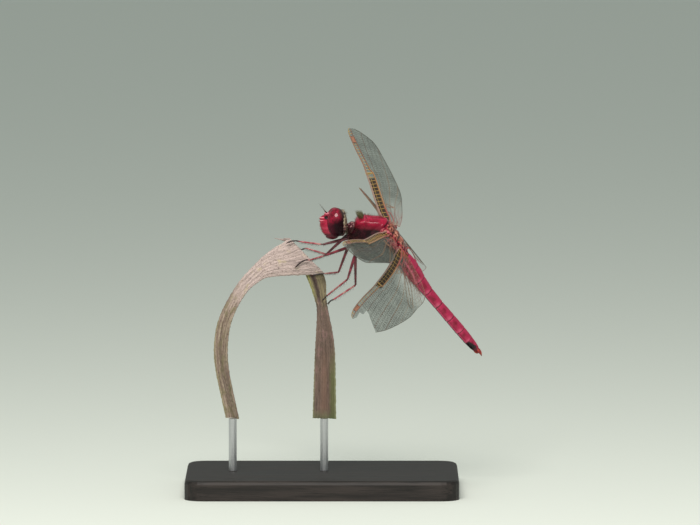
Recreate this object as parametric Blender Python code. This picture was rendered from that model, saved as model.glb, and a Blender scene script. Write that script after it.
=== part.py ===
"""A male red dropwing dragonfly gripping a folded dry blade, held by a plain display stand.

World frame: +Z up, origin in the middle of the stand's underside, lengths in metres (MM is one millimetre).
The insect lives in its own body frame (x forward, y to its left, z up, origin where the abdomen meets the
thorax), which an empty sets in the pose. The head has an empty of its own. Neighbouring pieces are parted by
a thin cut, GAP wide: where one grows out of another, a slightly swollen copy of the neighbour trims it.
"""

import math

import bmesh
import bpy
import numpy as np
from mathutils import Euler, Matrix, Vector

MM = 0.001
GAP = 0.06 * MM

# Pose of the body and of the head: place in the world, and roll, pitch and heading in degrees.
BODY_PLACE = (13.05, 0.06, 37.73)
BODY_TURN = (-27.0, -50.2, 200.4)
HEAD_PLACE = (2.2, -1.95, 43.4)
HEAD_TURN = (3.0, 0.0, 186.0)

# Thorax, front to back along the body: x, back height, belly depth, half width.
THORAX = (
    (9.9, -1.8, -2.4, 0.75),
    (9.4, -0.95, -3.3, 1.7),
    (8.6, 0.25, -4.7, 2.3),
    (7.5, 1.55, -5.5, 2.7),
    (6.0, 2.1, -5.85, 2.85),
    (4.2, 2.05, -5.5, 2.8),
    (2.5, 1.85, -4.1, 2.55),
    (1.0, 1.5, -2.5, 2.05),
    (GAP / MM, 1.2, -1.45, 1.45),
)
THORAX_SIDES = 18
THORAX_RINGS = 11

# Abdomen: how far behind the thorax each of the ten segments ends.
SEGMENT_ENDS = (0.8, 2.4, 4.6, 7.05, 9.9, 12.9, 15.6, 17.7, 19.05, 19.8)
# Distance behind the thorax, half width, half height, drop of the centre line.
ABDOMEN = (
    (0.0, 1.4, 1.25, 0.05),
    (1.6, 1.7, 1.4, 0.1),
    (3.2, 1.6, 1.3, 0.2),
    (5.0, 1.3, 1.08, 0.3),
    (7.0, 1.08, 0.9, 0.33),
    (9.9, 1.0, 0.82, 0.3),
    (12.9, 1.06, 0.84, 0.2),
    (15.6, 1.08, 0.84, 0.12),
    (17.7, 0.96, 0.78, 0.08),
    (19.05, 0.78, 0.66, 0.03),
    (19.8, 0.55, 0.5, 0.0),
)
ABDOMEN_SIDES = 14
JOINT_PINCH = 0.93
CERCUS_LENGTH = 1.25
CERCUS_SPREAD = 0.31

# Wings: root in the body frame (left side), then for each wing its sweep forward, its droop and the upward
# twist of its trailing edge in degrees.
WING_THICKNESS = 0.5 * MM
WING_ROOTS = {"fore": (6.05, 1.65, 1.08), "hind": (2.45, 1.65, 1.3)}
WING_TURNS = {
    "fore_left": (22.1, 1.1, 11.2),
    "fore_right": (18.9, 3.2, 24.0),
    "hind_left": (6.3, 15.0, 0.3),
    "hind_right": (5.9, 13.7, 1.8),
}
# Outlines as distance out along the wing and back from its leading edge, root to tip and back to the root.
FORE_OUTLINE = (
    (0.0, 0.14), (3.5, -0.2), (7.0, -0.23), (15.0, 0.35), (22.0, -0.35), (26.5, -0.35), (28.3, 0.45), (28.4, 1.5),
    (27.6, 2.75), (25.4, 4.5), (21.0, 5.35), (16.0, 5.7), (11.0, 5.55), (6.5, 4.9), (3.0, 3.85), (0.0, 2.6),
)
HIND_OUTLINE = (
    (0.0, -0.1), (6.0, 0.05), (13.0, 0.1), (20.0, -0.85), (24.5, -0.85), (26.9, -0.2), (27.4, 0.9),
    (26.8, 2.4), (25.0, 4.1), (21.5, 5.75), (17.0, 7.2), (12.0, 8.2), (8.0, 8.55), (5.0, 8.6),
    (3.5, 8.0), (2.3, 5.9), (1.2, 3.8), (0.0, 2.4),
)
# The left hind wing lost its outer membrane: between its two smooth edges runs a ragged one, which leaves only
# a strip along the leading edge.
TEAR_SMOOTH_LEADING = (
    (0.0, -0.1), (6.0, 0.05), (13.0, 0.1), (20.0, -0.85), (24.2, -0.85), (26.3, -0.35), (26.8, 0.3),
)
TEAR_RAGGED = ((25.6, 0.5), (23.9, 0.35), (23.4, 1.05), (21.9, 1.15), (22.0, 1.95), (23.0, 3.5), (23.8, 5.0))
TEAR_SMOOTH_TRAILING = (
    (22.6, 5.45), (20.5, 6.1), (17.0, 7.2), (12.0, 8.2), (8.0, 8.55), (5.0, 8.6),
    (3.5, 8.0), (2.3, 5.9), (1.2, 3.8), (0.0, 2.4),
)

# Head, in its own frame: x forward, y left, z up.
EYE_CENTRE = (0.05, 1.34, 0.3)
EYE_RADII = (1.45, 1.52, 2.33)
CAPSULE_CENTRE = (-0.75, 0.0, 0.2)
CAPSULE_RADII = (1.1, 2.5, 2.15)
# Face from top to chin: height, front, half width.
FACE = (
    (1.35, 2.2, 0.95),
    (1.1, 2.5, 1.3),
    (0.6, 2.58, 1.5),
    (-0.3, 2.52, 1.55),
    (-1.0, 2.33, 1.5),
    (-1.6, 1.95, 1.35),
    (-2.05, 1.5, 1.1),
)
FACE_BACK = 0.15
MOUTH_CENTRE = (0.62, 0.0, -1.8)
MOUTH_RADII = (1.1, 1.2, 0.7)
VERTEX_CENTRE = (1.4, 0.0, 1.54)
VERTEX_RADII = (0.5, 0.68, 0.42)
ANTENNA = ((1.55, 0.5, 2.05), (2.1, 0.8, 2.6), (2.6, 1.15, 3.3))
FEELER_RADIUS = 0.25

# Neck and first ring of the thorax, a tapered tube from the collar to the back of the head.
COLLAR_IN_BODY = (8.7, 0.0, -3.5)
NECK_IN_HEAD = (-1.2, 0.0, -0.35)
PROTHORAX_RADII = (1.15, 1.2, 0.75)

# Legs: hip in the body frame (left side), then knee, ankle and foot points in the world, for each leg.
HIPS = {"fore": (8.3, 0.95, -4.85), "mid": (7.0, 1.05, -5.5), "hind": (5.4, 1.15, -5.6)}
LEGS = {
    "fore_left": ((0.05, -2.75, 40.15), (-3.45, -0.85, 40.45), ((-4.6, -0.75, 40.6), (-5.5, -0.85, 40.3))),
    "fore_right": ((0.65, 1.45, 38.2), (-2.6, 1.45, 39.2), ((-3.5, 1.35, 38.9), (-4.2, 1.35, 38.4))),
    "mid_left": ((0.45, -4.5, 38.5), (-2.0, -1.05, 37.5), ((-3.0, -0.75, 37.4), (-4.2, -0.75, 36.4))),
    "mid_right": ((2.65, 3.05, 35.15), (0.6, -0.75, 35.3), ((-0.5, -0.75, 35.2), (-1.5, -0.8, 35.0))),
    "hind_left": ((4.1, -4.8, 34.7), (0.95, -1.35, 31.9), ((0.55, -1.2, 31.5), (0.1, -1.2, 31.0))),
    "hind_right": ((5.4, 3.15, 33.05), (1.85, 0.1, 31.0), ((1.35, -0.1, 30.8), (1.0, -0.6, 30.4))),
}
FEMUR_RADII = (0.5, 0.38, 0.3)
TIBIA_RADII = (0.27, 0.25)
TARSUS_RADIUS = 0.25
LEG_SIDES = 8

# The dry blade, folded over once: both edges of each length, and how deep its gutter is.
BLADE_THICKNESS = 0.55 * MM
FOLD_UPPER = ((-5.3, 0.0, 41.0), (-6.4, 0.0, 40.1), (-7.5, 0.0, 39.5), (-8.75, 0.0, 38.6), (-9.8, 0.05, 37.75))
FOLD_LOWER = ((0.4, 0.0, 35.2), (-2.6, 0.0, 35.0), (-6.2, 0.0, 34.85), (-8.7, -0.05, 34.6), (-9.6, -0.1, 34.3))
CURL_OUTER = (
    (-9.8, 0.05, 37.75), (-12.75, 0.3, 34.65), (-14.55, 0.5, 32.1), (-16.2, 0.7, 29.0), (-17.15, 0.8, 26.1),
    (-17.5, 0.8, 22.5), (-17.2, 0.8, 19.3), (-16.6, 0.8, 16.3), (-15.6, 0.8, 11.7),
)
CURL_INNER = (
    (-9.6, -0.1, 34.3), (-11.5, -0.4, 32.9), (-12.85, -0.6, 31.2), (-14.1, -0.7, 28.9), (-14.95, -0.8, 26.3),
    (-15.3, -0.8, 22.7), (-15.1, -0.8, 19.5), (-14.5, -0.8, 16.2), (-13.55, -0.8, 11.7),
)
UPRIGHT_LEFT = (
    (-5.2, 0.62, 40.55), (-3.4, 0.75, 36.6), (-2.1, 0.8, 33.6), (-1.35, 0.7, 31.5), (-0.85, 0.5, 29.4),
    (-0.95, 0.5, 26.1), (-1.15, 0.6, 22.9), (-1.35, 0.7, 18.1), (-1.55, 0.8, 11.7),
)
UPRIGHT_RIGHT = (
    (0.35, 0.62, 34.75), (0.62, 0.5, 33.6), (0.65, 0.3, 32.4), (0.7, 0.0, 31.0), (0.9, -0.4, 29.4),
    (1.6, -0.7, 26.1), (2.0, -0.8, 22.9), (2.15, -0.8, 18.1), (2.2, -0.8, 11.7),
)
SPLINTER = ((-5.75, 0.05, 40.72), (-6.7, 0.0, 40.75), (-7.75, -0.1, 40.95))
SPLINTER_RADII = (0.16, 0.14, 0.08)
BLADE_COLUMNS = 4
# How deep each length is bowed, as a share of its width, at its start and its end.
FOLD_BOW = (-0.01, -0.01)
CURL_BOW = (0.0, 0.25)
UPRIGHT_BOW = (0.03, 0.2)

# Stand: a flat base with a bevelled top edge, and a rod under each cut end of the blade.
BASE_SIZE = (44.0, 30.0, 3.2)
BASE_CORNER = 3.0
BASE_BEVEL = 0.6 * MM
ROD_RADIUS = 0.65
RODS = {"stand_rod_left": (-14.45, 0.0), "stand_rod_right": (0.33, 0.0)}
ROD_TOP = 11.7

# name: colour, roughness, metallic
MATERIALS = {
    "crimson": ((0.50, 0.03, 0.07), 0.35, 0.0),
    "dark_red": ((0.16, 0.015, 0.03), 0.4, 0.0),
    "eye_red": ((0.35, 0.01, 0.04), 0.15, 0.0),
    "bronze_olive": ((0.22, 0.12, 0.08), 0.6, 0.0),
    "leg_red": ((0.42, 0.06, 0.07), 0.45, 0.0),
    "wing_clear": ((0.62, 0.50, 0.36), 0.25, 0.0),
    "tip_orange": ((0.75, 0.22, 0.06), 0.4, 0.0),
    "dry_blade": ((0.42, 0.27, 0.19), 0.8, 0.0),
    "base_wood": ((0.035, 0.028, 0.025), 0.35, 0.0),
    "rod_steel": ((0.55, 0.55, 0.56), 0.3, 1.0),
}


def clear_scene():
    """Empty the scene of whatever it started with."""
    for obj in list(bpy.data.objects):
        bpy.data.objects.remove(obj, do_unlink=True)


def make_material(name):
    """A Principled material from its line in MATERIALS."""
    colour, roughness, metallic = MATERIALS[name]
    material = bpy.data.materials.new(name)
    material.use_nodes = True
    shader = material.node_tree.nodes["Principled BSDF"]
    shader.inputs["Base Color"].default_value = (*colour, 1.0)
    shader.inputs["Roughness"].default_value = roughness
    shader.inputs["Metallic"].default_value = metallic
    return material


def millimetres(points):
    """The points as vectors in metres."""
    return [Vector(point) * MM for point in points]


def smooth_through(points, count):
    """`count` points at even steps along the smooth curve (Catmull-Rom) through the given rows."""
    rows = np.asarray(points, dtype=float)
    padded = np.vstack((2 * rows[0] - rows[1], rows, 2 * rows[-1] - rows[-2]))
    steps = np.linspace(0.0, len(rows) - 1, count)
    starts = np.minimum(steps.astype(int), len(rows) - 2)
    t = (steps - starts)[:, None]
    before, here, after, beyond = (padded[starts + k] for k in range(4))
    return 0.5 * (
        2 * here
        + (after - before) * t
        + (2 * before - 5 * here + 4 * after - beyond) * t**2
        + (3 * here - 3 * after + beyond - before) * t**3
    )


def station_values(stations, place):
    """The other columns of the stations, read at `place` along their first column."""
    table = np.asarray(sorted(stations), dtype=float)
    return [float(np.interp(place, table[:, 0], column)) for column in table[:, 1:].T]


def add_object(name, shape, material, parent=None):
    """The bmesh as a named object, with faces pointing out and round parts shaded smooth."""
    bmesh.ops.recalc_face_normals(shape, faces=shape.faces)
    mesh = bpy.data.meshes.new(name)
    shape.to_mesh(mesh)
    shape.free()
    mesh.shade_smooth()
    mesh.set_sharp_from_angle(angle=math.radians(40))
    if material:
        mesh.materials.append(bpy.data.materials[material])
    obj = bpy.data.objects.new(name, mesh)
    bpy.context.scene.collection.objects.link(obj)
    obj.parent = parent
    return obj


def add_empty(name, place, turn):
    """An empty that sets a frame: its place in millimetres, and its roll, pitch and heading in degrees."""
    empty = bpy.data.objects.new(name, None)
    bpy.context.scene.collection.objects.link(empty)
    empty.location = Vector(place) * MM
    empty.rotation_euler = [math.radians(angle) for angle in turn]
    return empty


def frame_matrix(place, turn):
    """The matrix of the frame that add_empty sets."""
    angles = Euler([math.radians(angle) for angle in turn])
    return Matrix.Translation(Vector(place) * MM) @ angles.to_matrix().to_4x4()


def make_cutter(cutter):
    """Turn an object into a guide that only trims its neighbours."""
    cutter.hide_render = True
    cutter.display_type = "WIRE"
    return cutter


def trim(obj, cutter):
    """Cut the neighbour's swollen copy away from the object."""
    modifier = obj.modifiers.new("trim_" + cutter.name, "BOOLEAN")
    modifier.operation = "DIFFERENCE"
    modifier.solver = "EXACT"
    modifier.object = cutter


def loft(rings):
    """A closed skin through rings of equally many points, with a flat cap at each end."""
    shape = bmesh.new()
    rows = [[shape.verts.new(point) for point in ring] for ring in rings]
    for row, after in zip(rows, rows[1:]):
        for k in range(len(row)):
            following = (k + 1) % len(row)
            shape.faces.new((row[k], row[following], after[following], after[k]))
    shape.faces.new(rows[0])
    shape.faces.new(rows[-1])
    return shape


def oval_ring(x, half_width, top, bottom, sides):
    """An oval in the plane across the body axis at x."""
    middle, half_height = (top + bottom) / 2, (top - bottom) / 2
    turns = [math.tau * (k + 0.5) / sides for k in range(sides)]
    return [Vector((x, half_width * math.cos(a), middle + half_height * math.sin(a))) for a in turns]


def ellipsoid(centre, radii, grow=0.0, columns=18, rows=11):
    """An oval ball, or its copy swollen by `grow`."""
    shape = bmesh.new()
    sizes = [radius * MM + grow for radius in radii]
    placed = Matrix.Translation(Vector(centre) * MM) @ Matrix.Diagonal((*sizes, 1.0))
    bmesh.ops.create_uvsphere(shape, u_segments=columns, v_segments=rows, radius=1.0, matrix=placed)
    return shape


def rounded(path, radii):
    """The path and its radii with a half ball added past the last point."""
    ahead = (path[-1] - path[-2]).normalized()
    lifts = [math.radians(degrees) for degrees in (35, 65)]
    caps = [path[-1] + ahead * radii[-1] * math.sin(lift) for lift in lifts]
    return path + caps, radii + [radii[-1] * math.cos(lift) for lift in lifts]


def tube(path, radii, sides=LEG_SIDES):
    """A closed tube along the path: circles across it, turned as little as possible from one to the next."""
    rings = []
    across = (path[1] - path[0]).orthogonal().normalized()
    for k, (point, radius) in enumerate(zip(path, radii)):
        before, after = path[max(k - 1, 0)], path[min(k + 1, len(path) - 1)]
        ahead = (after - before).normalized()
        across = (across - ahead * across.dot(ahead)).normalized()
        sideways = ahead.cross(across)
        turns = [math.tau * j / sides for j in range(sides)]
        rings.append([point + (across * math.cos(a) + sideways * math.sin(a)) * radius for a in turns])
    return loft(rings)


def thick_plate(outline, lift):
    """The flat outline as a plate, reaching half of `lift` to each side of it."""
    return loft([[point - lift / 2 for point in outline], [point + lift / 2 for point in outline]])


def ribbon(near_edge, far_edge, bows, rows, columns=BLADE_COLUMNS):
    """A thick strip between two smooth edges, bowed across by `bows` of its width, from start to end."""
    near, far = smooth_through(near_edge, rows), smooth_through(far_edge, rows)
    across = np.linspace(0.0, 1.0, columns + 1)[None, :, None]
    middle = near[:, None] * (1 - across) + far[:, None] * across
    along = np.gradient((near + far) / 2, axis=0)
    along /= np.linalg.norm(along, axis=1)[:, None]
    middle[0] += along[0] * GAP / MM
    normal = np.cross(far - near, along)
    width = np.linalg.norm(normal, axis=1)[:, None]
    normal /= width
    bow = np.linspace(*bows, rows)[:, None, None] * width[:, None] * 4 * across * (1 - across)
    middle = (middle + bow * normal[:, None]) * MM
    half = normal[:, None] * BLADE_THICKNESS / 2
    upper, lower = middle + half, middle - half
    return loft([[Vector(p) for p in (*top, *bottom[::-1])] for top, bottom in zip(upper, lower)])


def thorax_shape(grow=0.0):
    """The thorax as ovals along the body, or its copy swollen by `grow`."""
    stations = smooth_through(THORAX, THORAX_RINGS) * MM
    stations[0, 0] += grow
    stations[-1, 0] -= grow
    rings = [oval_ring(x, w + grow, top + grow, low - grow, THORAX_SIDES) for x, top, low, w in stations]
    return loft(rings)


def build_thorax(body):
    """The thorax that carries wings and legs, and the guide that trims them."""
    add_object("thorax", thorax_shape(), "crimson", body)
    return make_cutter(add_object("thorax_clearance", thorax_shape(GAP), None, body))


def build_abdomen(body):
    """Ten segments, each a little pinched at its joints, with the two cerci and the plate between them."""
    start = GAP / MM
    for number, end in enumerate(SEGMENT_ENDS, start=1):
        rings = []
        for share, pinch in ((0.0, JOINT_PINCH), (0.12, 1.0), (0.5, 1.02), (0.9, 1.0), (1.0, JOINT_PINCH)):
            back = start + (end - GAP / MM - start) * share
            half_width, half_height, drop = station_values(ABDOMEN, back)
            low, top = -drop - half_height * pinch, -drop + half_height * pinch
            ring = oval_ring(-back, half_width * pinch, top, low, ABDOMEN_SIDES)
            rings.append([point * MM for point in ring])
        add_object(f"abdomen_{number}", loft(rings), "crimson", body)
        start = end
    for side, name in ((1, "cercus_left"), (-1, "cercus_right")):
        aside = side * CERCUS_SPREAD
        path = millimetres(((-start - GAP / MM, aside, 0.12), (-start - CERCUS_LENGTH, aside, 0.2)))
        add_object(name, tube(*rounded(path, [FEELER_RADIUS * MM] * 2)), "tip_orange", body)
    path = millimetres(((-start - GAP / MM, 0.0, -0.36), (-start - 0.5 * CERCUS_LENGTH, 0.0, -0.3)))
    add_object("epiproct", tube(*rounded(path, [FEELER_RADIUS * MM] * 2)), "tip_orange", body)


def wing_axes(wing):
    """Root, outward, backward and upward directions of a wing in the body frame."""
    pair, side = wing.split("_")
    sweep, droop, twist = (math.radians(angle) for angle in WING_TURNS[wing])
    outward = Vector((math.sin(sweep) * math.cos(droop), math.cos(sweep) * math.cos(droop), -math.sin(droop)))
    level = Vector((-math.cos(sweep), math.sin(sweep), 0.0))
    backward = level * math.cos(twist) + level.cross(outward).normalized() * -math.sin(twist)
    upward = outward.cross(backward)
    mirror = Matrix.Diagonal((1.0, 1.0 if side == "left" else -1.0, 1.0))
    return [mirror @ vector for vector in (Vector(WING_ROOTS[pair]), outward, backward, upward)]


def build_wings(body, thorax_guide):
    """Four flat wings of even thickness, trimmed where they join the thorax, the left hind one torn."""
    fore, hind = smooth_through(FORE_OUTLINE, 43), smooth_through(HIND_OUTLINE, 48)
    torn = [*smooth_through(TEAR_SMOOTH_LEADING, 16), *TEAR_RAGGED, *smooth_through(TEAR_SMOOTH_TRAILING, 24)]
    outlines = {"fore_left": fore, "fore_right": fore, "hind_left": torn, "hind_right": hind}
    for wing, outline in outlines.items():
        root, outward, backward, upward = wing_axes(wing)
        points = [(root + outward * out + backward * back) * MM for out, back in outline]
        plate = add_object("wing_" + wing, thick_plate(points, upward * WING_THICKNESS), "wing_clear", body)
        trim(plate, thorax_guide)


def face_shape(grow=0.0):
    """The face as flat half ovals stacked from top to chin, or its copy swollen by `grow`."""
    rings = []
    last = len(FACE) - 1
    for k, (height, front, half_width) in enumerate(FACE):
        lift = grow * ((k == 0) - (k == last))
        wide, deep = half_width * MM + grow, (front - FACE_BACK) * MM + grow
        turns = [math.radians(-90 + 180 * j / 10) for j in range(11)]
        back = Vector((FACE_BACK * MM, 0.0, height * MM + lift))
        arc = [back + Vector((deep * math.cos(a), wide * math.sin(a), 0.0)) for a in turns]
        ends = [point - Vector((grow, 0.0, 0.0)) for point in (arc[-1], arc[0])]
        rings.append(arc[1:-1] + ends)
    return loft(rings)


def build_head(head):
    """Eyes, rear capsule, face, mouthparts, vertex and feelers, and the guide that trims the neck."""
    eye_guides = []
    for side, name in ((1, "eye_left"), (-1, "eye_right")):
        centre = (EYE_CENTRE[0], side * EYE_CENTRE[1], EYE_CENTRE[2])
        add_object(name, flattened(ellipsoid(centre, EYE_RADII), side), "eye_red", head)
        guide = add_object(name + "_clearance", ellipsoid(centre, EYE_RADII, GAP), None, head)
        eye_guides.append(make_cutter(guide))
    capsule = add_object("head_capsule", ellipsoid(CAPSULE_CENTRE, CAPSULE_RADII), "bronze_olive", head)
    capsule_guide = add_object("capsule_clearance", ellipsoid(CAPSULE_CENTRE, CAPSULE_RADII, GAP), None, head)
    make_cutter(capsule_guide)
    face = add_object("face", face_shape(), "crimson", head)
    face_guide = make_cutter(add_object("face_clearance", face_shape(GAP), None, head))
    mouth = add_object("mouthparts", ellipsoid(MOUTH_CENTRE, MOUTH_RADII, columns=14, rows=8), "dark_red", head)
    vertex = add_object("vertex", ellipsoid(VERTEX_CENTRE, VERTEX_RADII, columns=12, rows=8), "crimson", head)
    for piece, others in ((capsule, ()), (face, [capsule_guide]), (mouth, [capsule_guide, face_guide]),
                          (vertex, [face_guide])):
        for guide in (*eye_guides, *others):
            trim(piece, guide)
    vertex_guide = add_object("vertex_clearance", ellipsoid(VERTEX_CENTRE, VERTEX_RADII, GAP), None, head)
    make_cutter(vertex_guide)
    for side, name in ((1, "antenna_left"), (-1, "antenna_right")):
        path = [Vector((x, side * y, z)) * MM for x, y, z in ANTENNA]
        feeler = add_object(name, tube(*rounded(path, [FEELER_RADIUS * MM] * 3)), "dark_red", head)
        for guide in (*eye_guides, face_guide, vertex_guide):
            trim(feeler, guide)
    return capsule_guide


def flattened(shape, side):
    """The shape with whatever lies past the head's middle plane pressed flat against it."""
    for vert in shape.verts:
        vert.co.y = side * max(side * vert.co.y, GAP / 2)
    return shape


def build_prothorax(thorax_guide, capsule_guide):
    """The neck and collar, a tapered tube from the thorax to the back of the head."""
    collar = frame_matrix(BODY_PLACE, BODY_TURN) @ (Vector(COLLAR_IN_BODY) * MM)
    neck = frame_matrix(HEAD_PLACE, HEAD_TURN) @ (Vector(NECK_IN_HEAD) * MM)
    path = [collar, collar.lerp(neck, 0.5), neck]
    prothorax = add_object("prothorax", tube(path, [r * MM for r in PROTHORAX_RADII], 14), "crimson")
    trim(prothorax, thorax_guide)
    trim(prothorax, capsule_guide)


def build_legs(thorax_guide):
    """Six legs, each a femur, a tibia and a foot that holds the blade."""
    body = frame_matrix(BODY_PLACE, BODY_TURN)
    for leg, (knee, ankle, foot) in LEGS.items():
        pair, side = leg.split("_")
        hip = Vector(HIPS[pair])
        hip.y *= 1 if side == "left" else -1
        hip = body @ (hip * MM)
        knee, ankle, *foot = millimetres((knee, ankle, *foot))
        thigh = [radius * MM for radius in FEMUR_RADII]
        femur = add_object("femur_" + leg, tube(*rounded([hip, hip.lerp(knee, 0.25), knee], thigh)), "leg_red")
        trim(femur, thorax_guide)
        shin = [radius * MM for radius in TIBIA_RADII]
        start = knee + (ankle - knee).normalized() * (thigh[-1] + GAP)
        add_object("tibia_" + leg, tube(*rounded([start, ankle], shin)), "dark_red")
        start = ankle + (foot[0] - ankle).normalized() * (shin[-1] + GAP)
        add_object("tarsus_" + leg, tube(*rounded([start, *foot], [TARSUS_RADIUS * MM] * 3)), "dark_red")


def build_perch():
    """The dry blade: its upright length, the folded-over face, the length that curls down and a splinter."""
    add_object("perch_upright", ribbon(UPRIGHT_LEFT, UPRIGHT_RIGHT, UPRIGHT_BOW, 17), "dry_blade")
    add_object("perch_fold", ribbon(FOLD_UPPER, FOLD_LOWER, FOLD_BOW, 9), "dry_blade")
    add_object("perch_curl", ribbon(CURL_OUTER, CURL_INNER, CURL_BOW, 17), "dry_blade")
    splinter = tube(millimetres(SPLINTER), [radius * MM for radius in SPLINTER_RADII], 6)
    add_object("perch_splinter", splinter, "dry_blade")


def build_stand():
    """A flat base with rounded corners and a bevelled top edge, and two rods."""
    length, width, height = BASE_SIZE
    shape = bmesh.new()
    bmesh.ops.create_cube(shape, size=1.0, matrix=Matrix.Diagonal((length * MM, width * MM, height * MM, 1.0)))
    bmesh.ops.translate(shape, verts=shape.verts, vec=(0.0, 0.0, height / 2 * MM))
    upright_edges = [edge for edge in shape.edges if abs(edge.verts[0].co.z - edge.verts[1].co.z) > BASE_BEVEL]
    bmesh.ops.bevel(shape, geom=upright_edges, offset=BASE_CORNER * MM, segments=5, affect="EDGES", profile=0.5)
    top_edges = [edge for edge in shape.edges if all(vert.co.z > height / 2 * MM for vert in edge.verts)]
    bmesh.ops.bevel(shape, geom=top_edges, offset=BASE_BEVEL, segments=2, affect="EDGES", profile=0.5)
    add_object("stand_base", shape, "base_wood")
    for name, (x, y) in RODS.items():
        path = millimetres(((x, y, height + GAP / MM), (x, y, ROD_TOP)))
        add_object(name, tube(path, [ROD_RADIUS * MM] * 2, 16), "rod_steel")


def main():
    clear_scene()
    for name in MATERIALS:
        make_material(name)
    body = add_empty("body_frame", BODY_PLACE, BODY_TURN)
    head = add_empty("head_frame", HEAD_PLACE, HEAD_TURN)
    thorax_guide = build_thorax(body)
    build_abdomen(body)
    build_wings(body, thorax_guide)
    capsule_guide = build_head(head)
    build_prothorax(thorax_guide, capsule_guide)
    build_legs(thorax_guide)
    build_perch()
    build_stand()


if __name__ == "__main__":
    main()
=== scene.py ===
"""A red dragonfly with one torn wing, as a life-size museum model that grips a dry blade over a plain stand.

Sizes are in millimetres until a mesh is made. Every new piece is a surface worked out with numpy.
Each point carries its place on the animal, which the finishes read to lay out their colours.
"""

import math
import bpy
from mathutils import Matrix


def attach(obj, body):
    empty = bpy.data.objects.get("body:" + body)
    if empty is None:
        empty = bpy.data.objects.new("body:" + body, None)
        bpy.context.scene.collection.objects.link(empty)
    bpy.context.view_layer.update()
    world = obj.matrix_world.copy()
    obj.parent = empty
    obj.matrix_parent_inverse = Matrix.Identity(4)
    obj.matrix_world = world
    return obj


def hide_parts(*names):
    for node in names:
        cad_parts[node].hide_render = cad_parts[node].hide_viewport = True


bl_info = {
    "name": "Dragonfly on a Folded Blade",
    "version": (1, 0, 0),
    "blender": (4, 5, 0),
    "location": "3D View > Sidebar > Dragonfly",
    "description": "Dresses the CAD frame of a life-size dragonfly model with its fine surfaces and finishes",
    "category": "Add Mesh",
}

import bpy
import numpy as np
from bpy.props import FloatProperty, FloatVectorProperty, PointerProperty
from mathutils import Euler, Matrix, Vector

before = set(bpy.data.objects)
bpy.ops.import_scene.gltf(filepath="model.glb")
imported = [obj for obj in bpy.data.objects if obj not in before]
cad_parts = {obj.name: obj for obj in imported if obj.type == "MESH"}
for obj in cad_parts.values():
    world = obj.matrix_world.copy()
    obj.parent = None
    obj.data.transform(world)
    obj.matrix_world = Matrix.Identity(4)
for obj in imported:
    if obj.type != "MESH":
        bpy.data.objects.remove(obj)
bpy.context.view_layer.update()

MM = 0.001

# Frames of the body (x along it towards the head, y left, z up) and of the head.
BODY_PLACE = (13.05, 0.06, 37.73)
BODY_TURN = (-27.0, -50.2, 200.4)
HEAD_PLACE = (2.2, -1.95, 43.4)
HEAD_TURN = (3.0, 0.0, 186.0)

# Thorax: place along the body, top, belly, half width.
THORAX = (
    (9.85, -1.6, -2.3, 0.8),
    (9.5, -0.85, -2.8, 1.6),
    (9.1, -0.3, -3.4, 2.1),
    (8.6, 0.2, -4.7, 2.5),
    (7.5, 1.5, -5.5, 2.75),
    (6.0, 2.1, -5.85, 2.85),
    (4.2, 2.05, -5.5, 2.8),
    (2.5, 1.85, -4.1, 2.55),
    (1.0, 1.5, -2.5, 2.05),
    (0.06, 1.2, -1.45, 1.45),
)

# Abdomen: where its ten segments end behind the thorax; then place behind, half width, half height, drop.
SEGMENT_ENDS = (0.8, 2.4, 4.6, 7.05, 9.9, 12.9, 15.6, 17.7, 19.05, 19.8)
ABDOMEN = (
    (0.0, 1.4, 1.25, 0.05),
    (1.6, 1.7, 1.4, 0.1),
    (3.2, 1.6, 1.3, 0.2),
    (5.0, 1.3, 1.08, 0.3),
    (7.0, 1.08, 0.9, 0.33),
    (9.9, 1.0, 0.82, 0.3),
    (12.9, 1.06, 0.84, 0.2),
    (15.6, 1.08, 0.84, 0.12),
    (17.7, 0.96, 0.78, 0.08),
    (19.05, 0.78, 0.66, 0.03),
    (19.8, 0.55, 0.5, 0.0),
)
CERCUS_LENGTH = 1.25
CERCUS_SPREAD = 0.31

# Wings: roots in the body frame (left side); sweep, droop and twist in degrees; outlines as pairs of the
# way out from the root and the way back from the axis.
WING_ROOTS = {"fore": (6.02, 1.7, 0.92), "hind": (2.43, 1.57, 1.05)}
WING_TURNS = {
    "fore_left": (22.47, 0.5, 8.71),
    "fore_right": (19.11, 3.27, 26.84),
    "hind_left": (6.61, 14.64, 0.64),
    "hind_right": (6.85, 13.17, 2.0),
}
FORE_LEADING = (
    (0.0, 0.2), (3.5, -0.09), (7.0, 0.05), (15.0, 0.5), (22.0, 0.1), (26.5, 0.1), (28.3, 0.65), (28.4, 1.6),
)
FORE_TRAILING = (
    (28.4, 1.6), (27.6, 3.0), (25.4, 4.64), (21.0, 5.2), (16.0, 5.64), (11.0, 5.71), (6.5, 4.76), (3.0, 3.82),
    (0.0, 2.6),
)
HIND_LEADING = (
    (0.0, -0.08), (6.0, 0.47), (13.0, 0.31), (20.0, -0.34), (24.5, -0.51), (26.9, -0.1), (27.4, 0.9),
)
HIND_TRAILING = (
    (27.4, 0.9), (26.8, 2.4), (25.0, 4.1), (21.5, 5.75), (17.0, 7.1), (12.0, 8.2), (8.0, 8.5), (5.0, 8.75),
    (3.0, 8.25), (1.6, 6.75), (0.7, 4.4), (0.0, 2.4),
)
TORN_LEADING = (*HIND_LEADING[:4], (24.2, -0.51), (26.3, -0.2), (26.8, 0.4))
# The tear: the strip that stays behind the leading edge, and the lobe that stays along the trailing edge.
TEAR_FROM = 21.9
TORN_STRIP = ((21.9, 1.45), (23.4, 1.35), (23.9, 0.65), (25.6, 0.75), (26.8, 0.4))
TORN_LOBE = ((21.9, 1.85), (22.0, 2.1), (23.0, 3.5), (23.8, 5.0))

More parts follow.
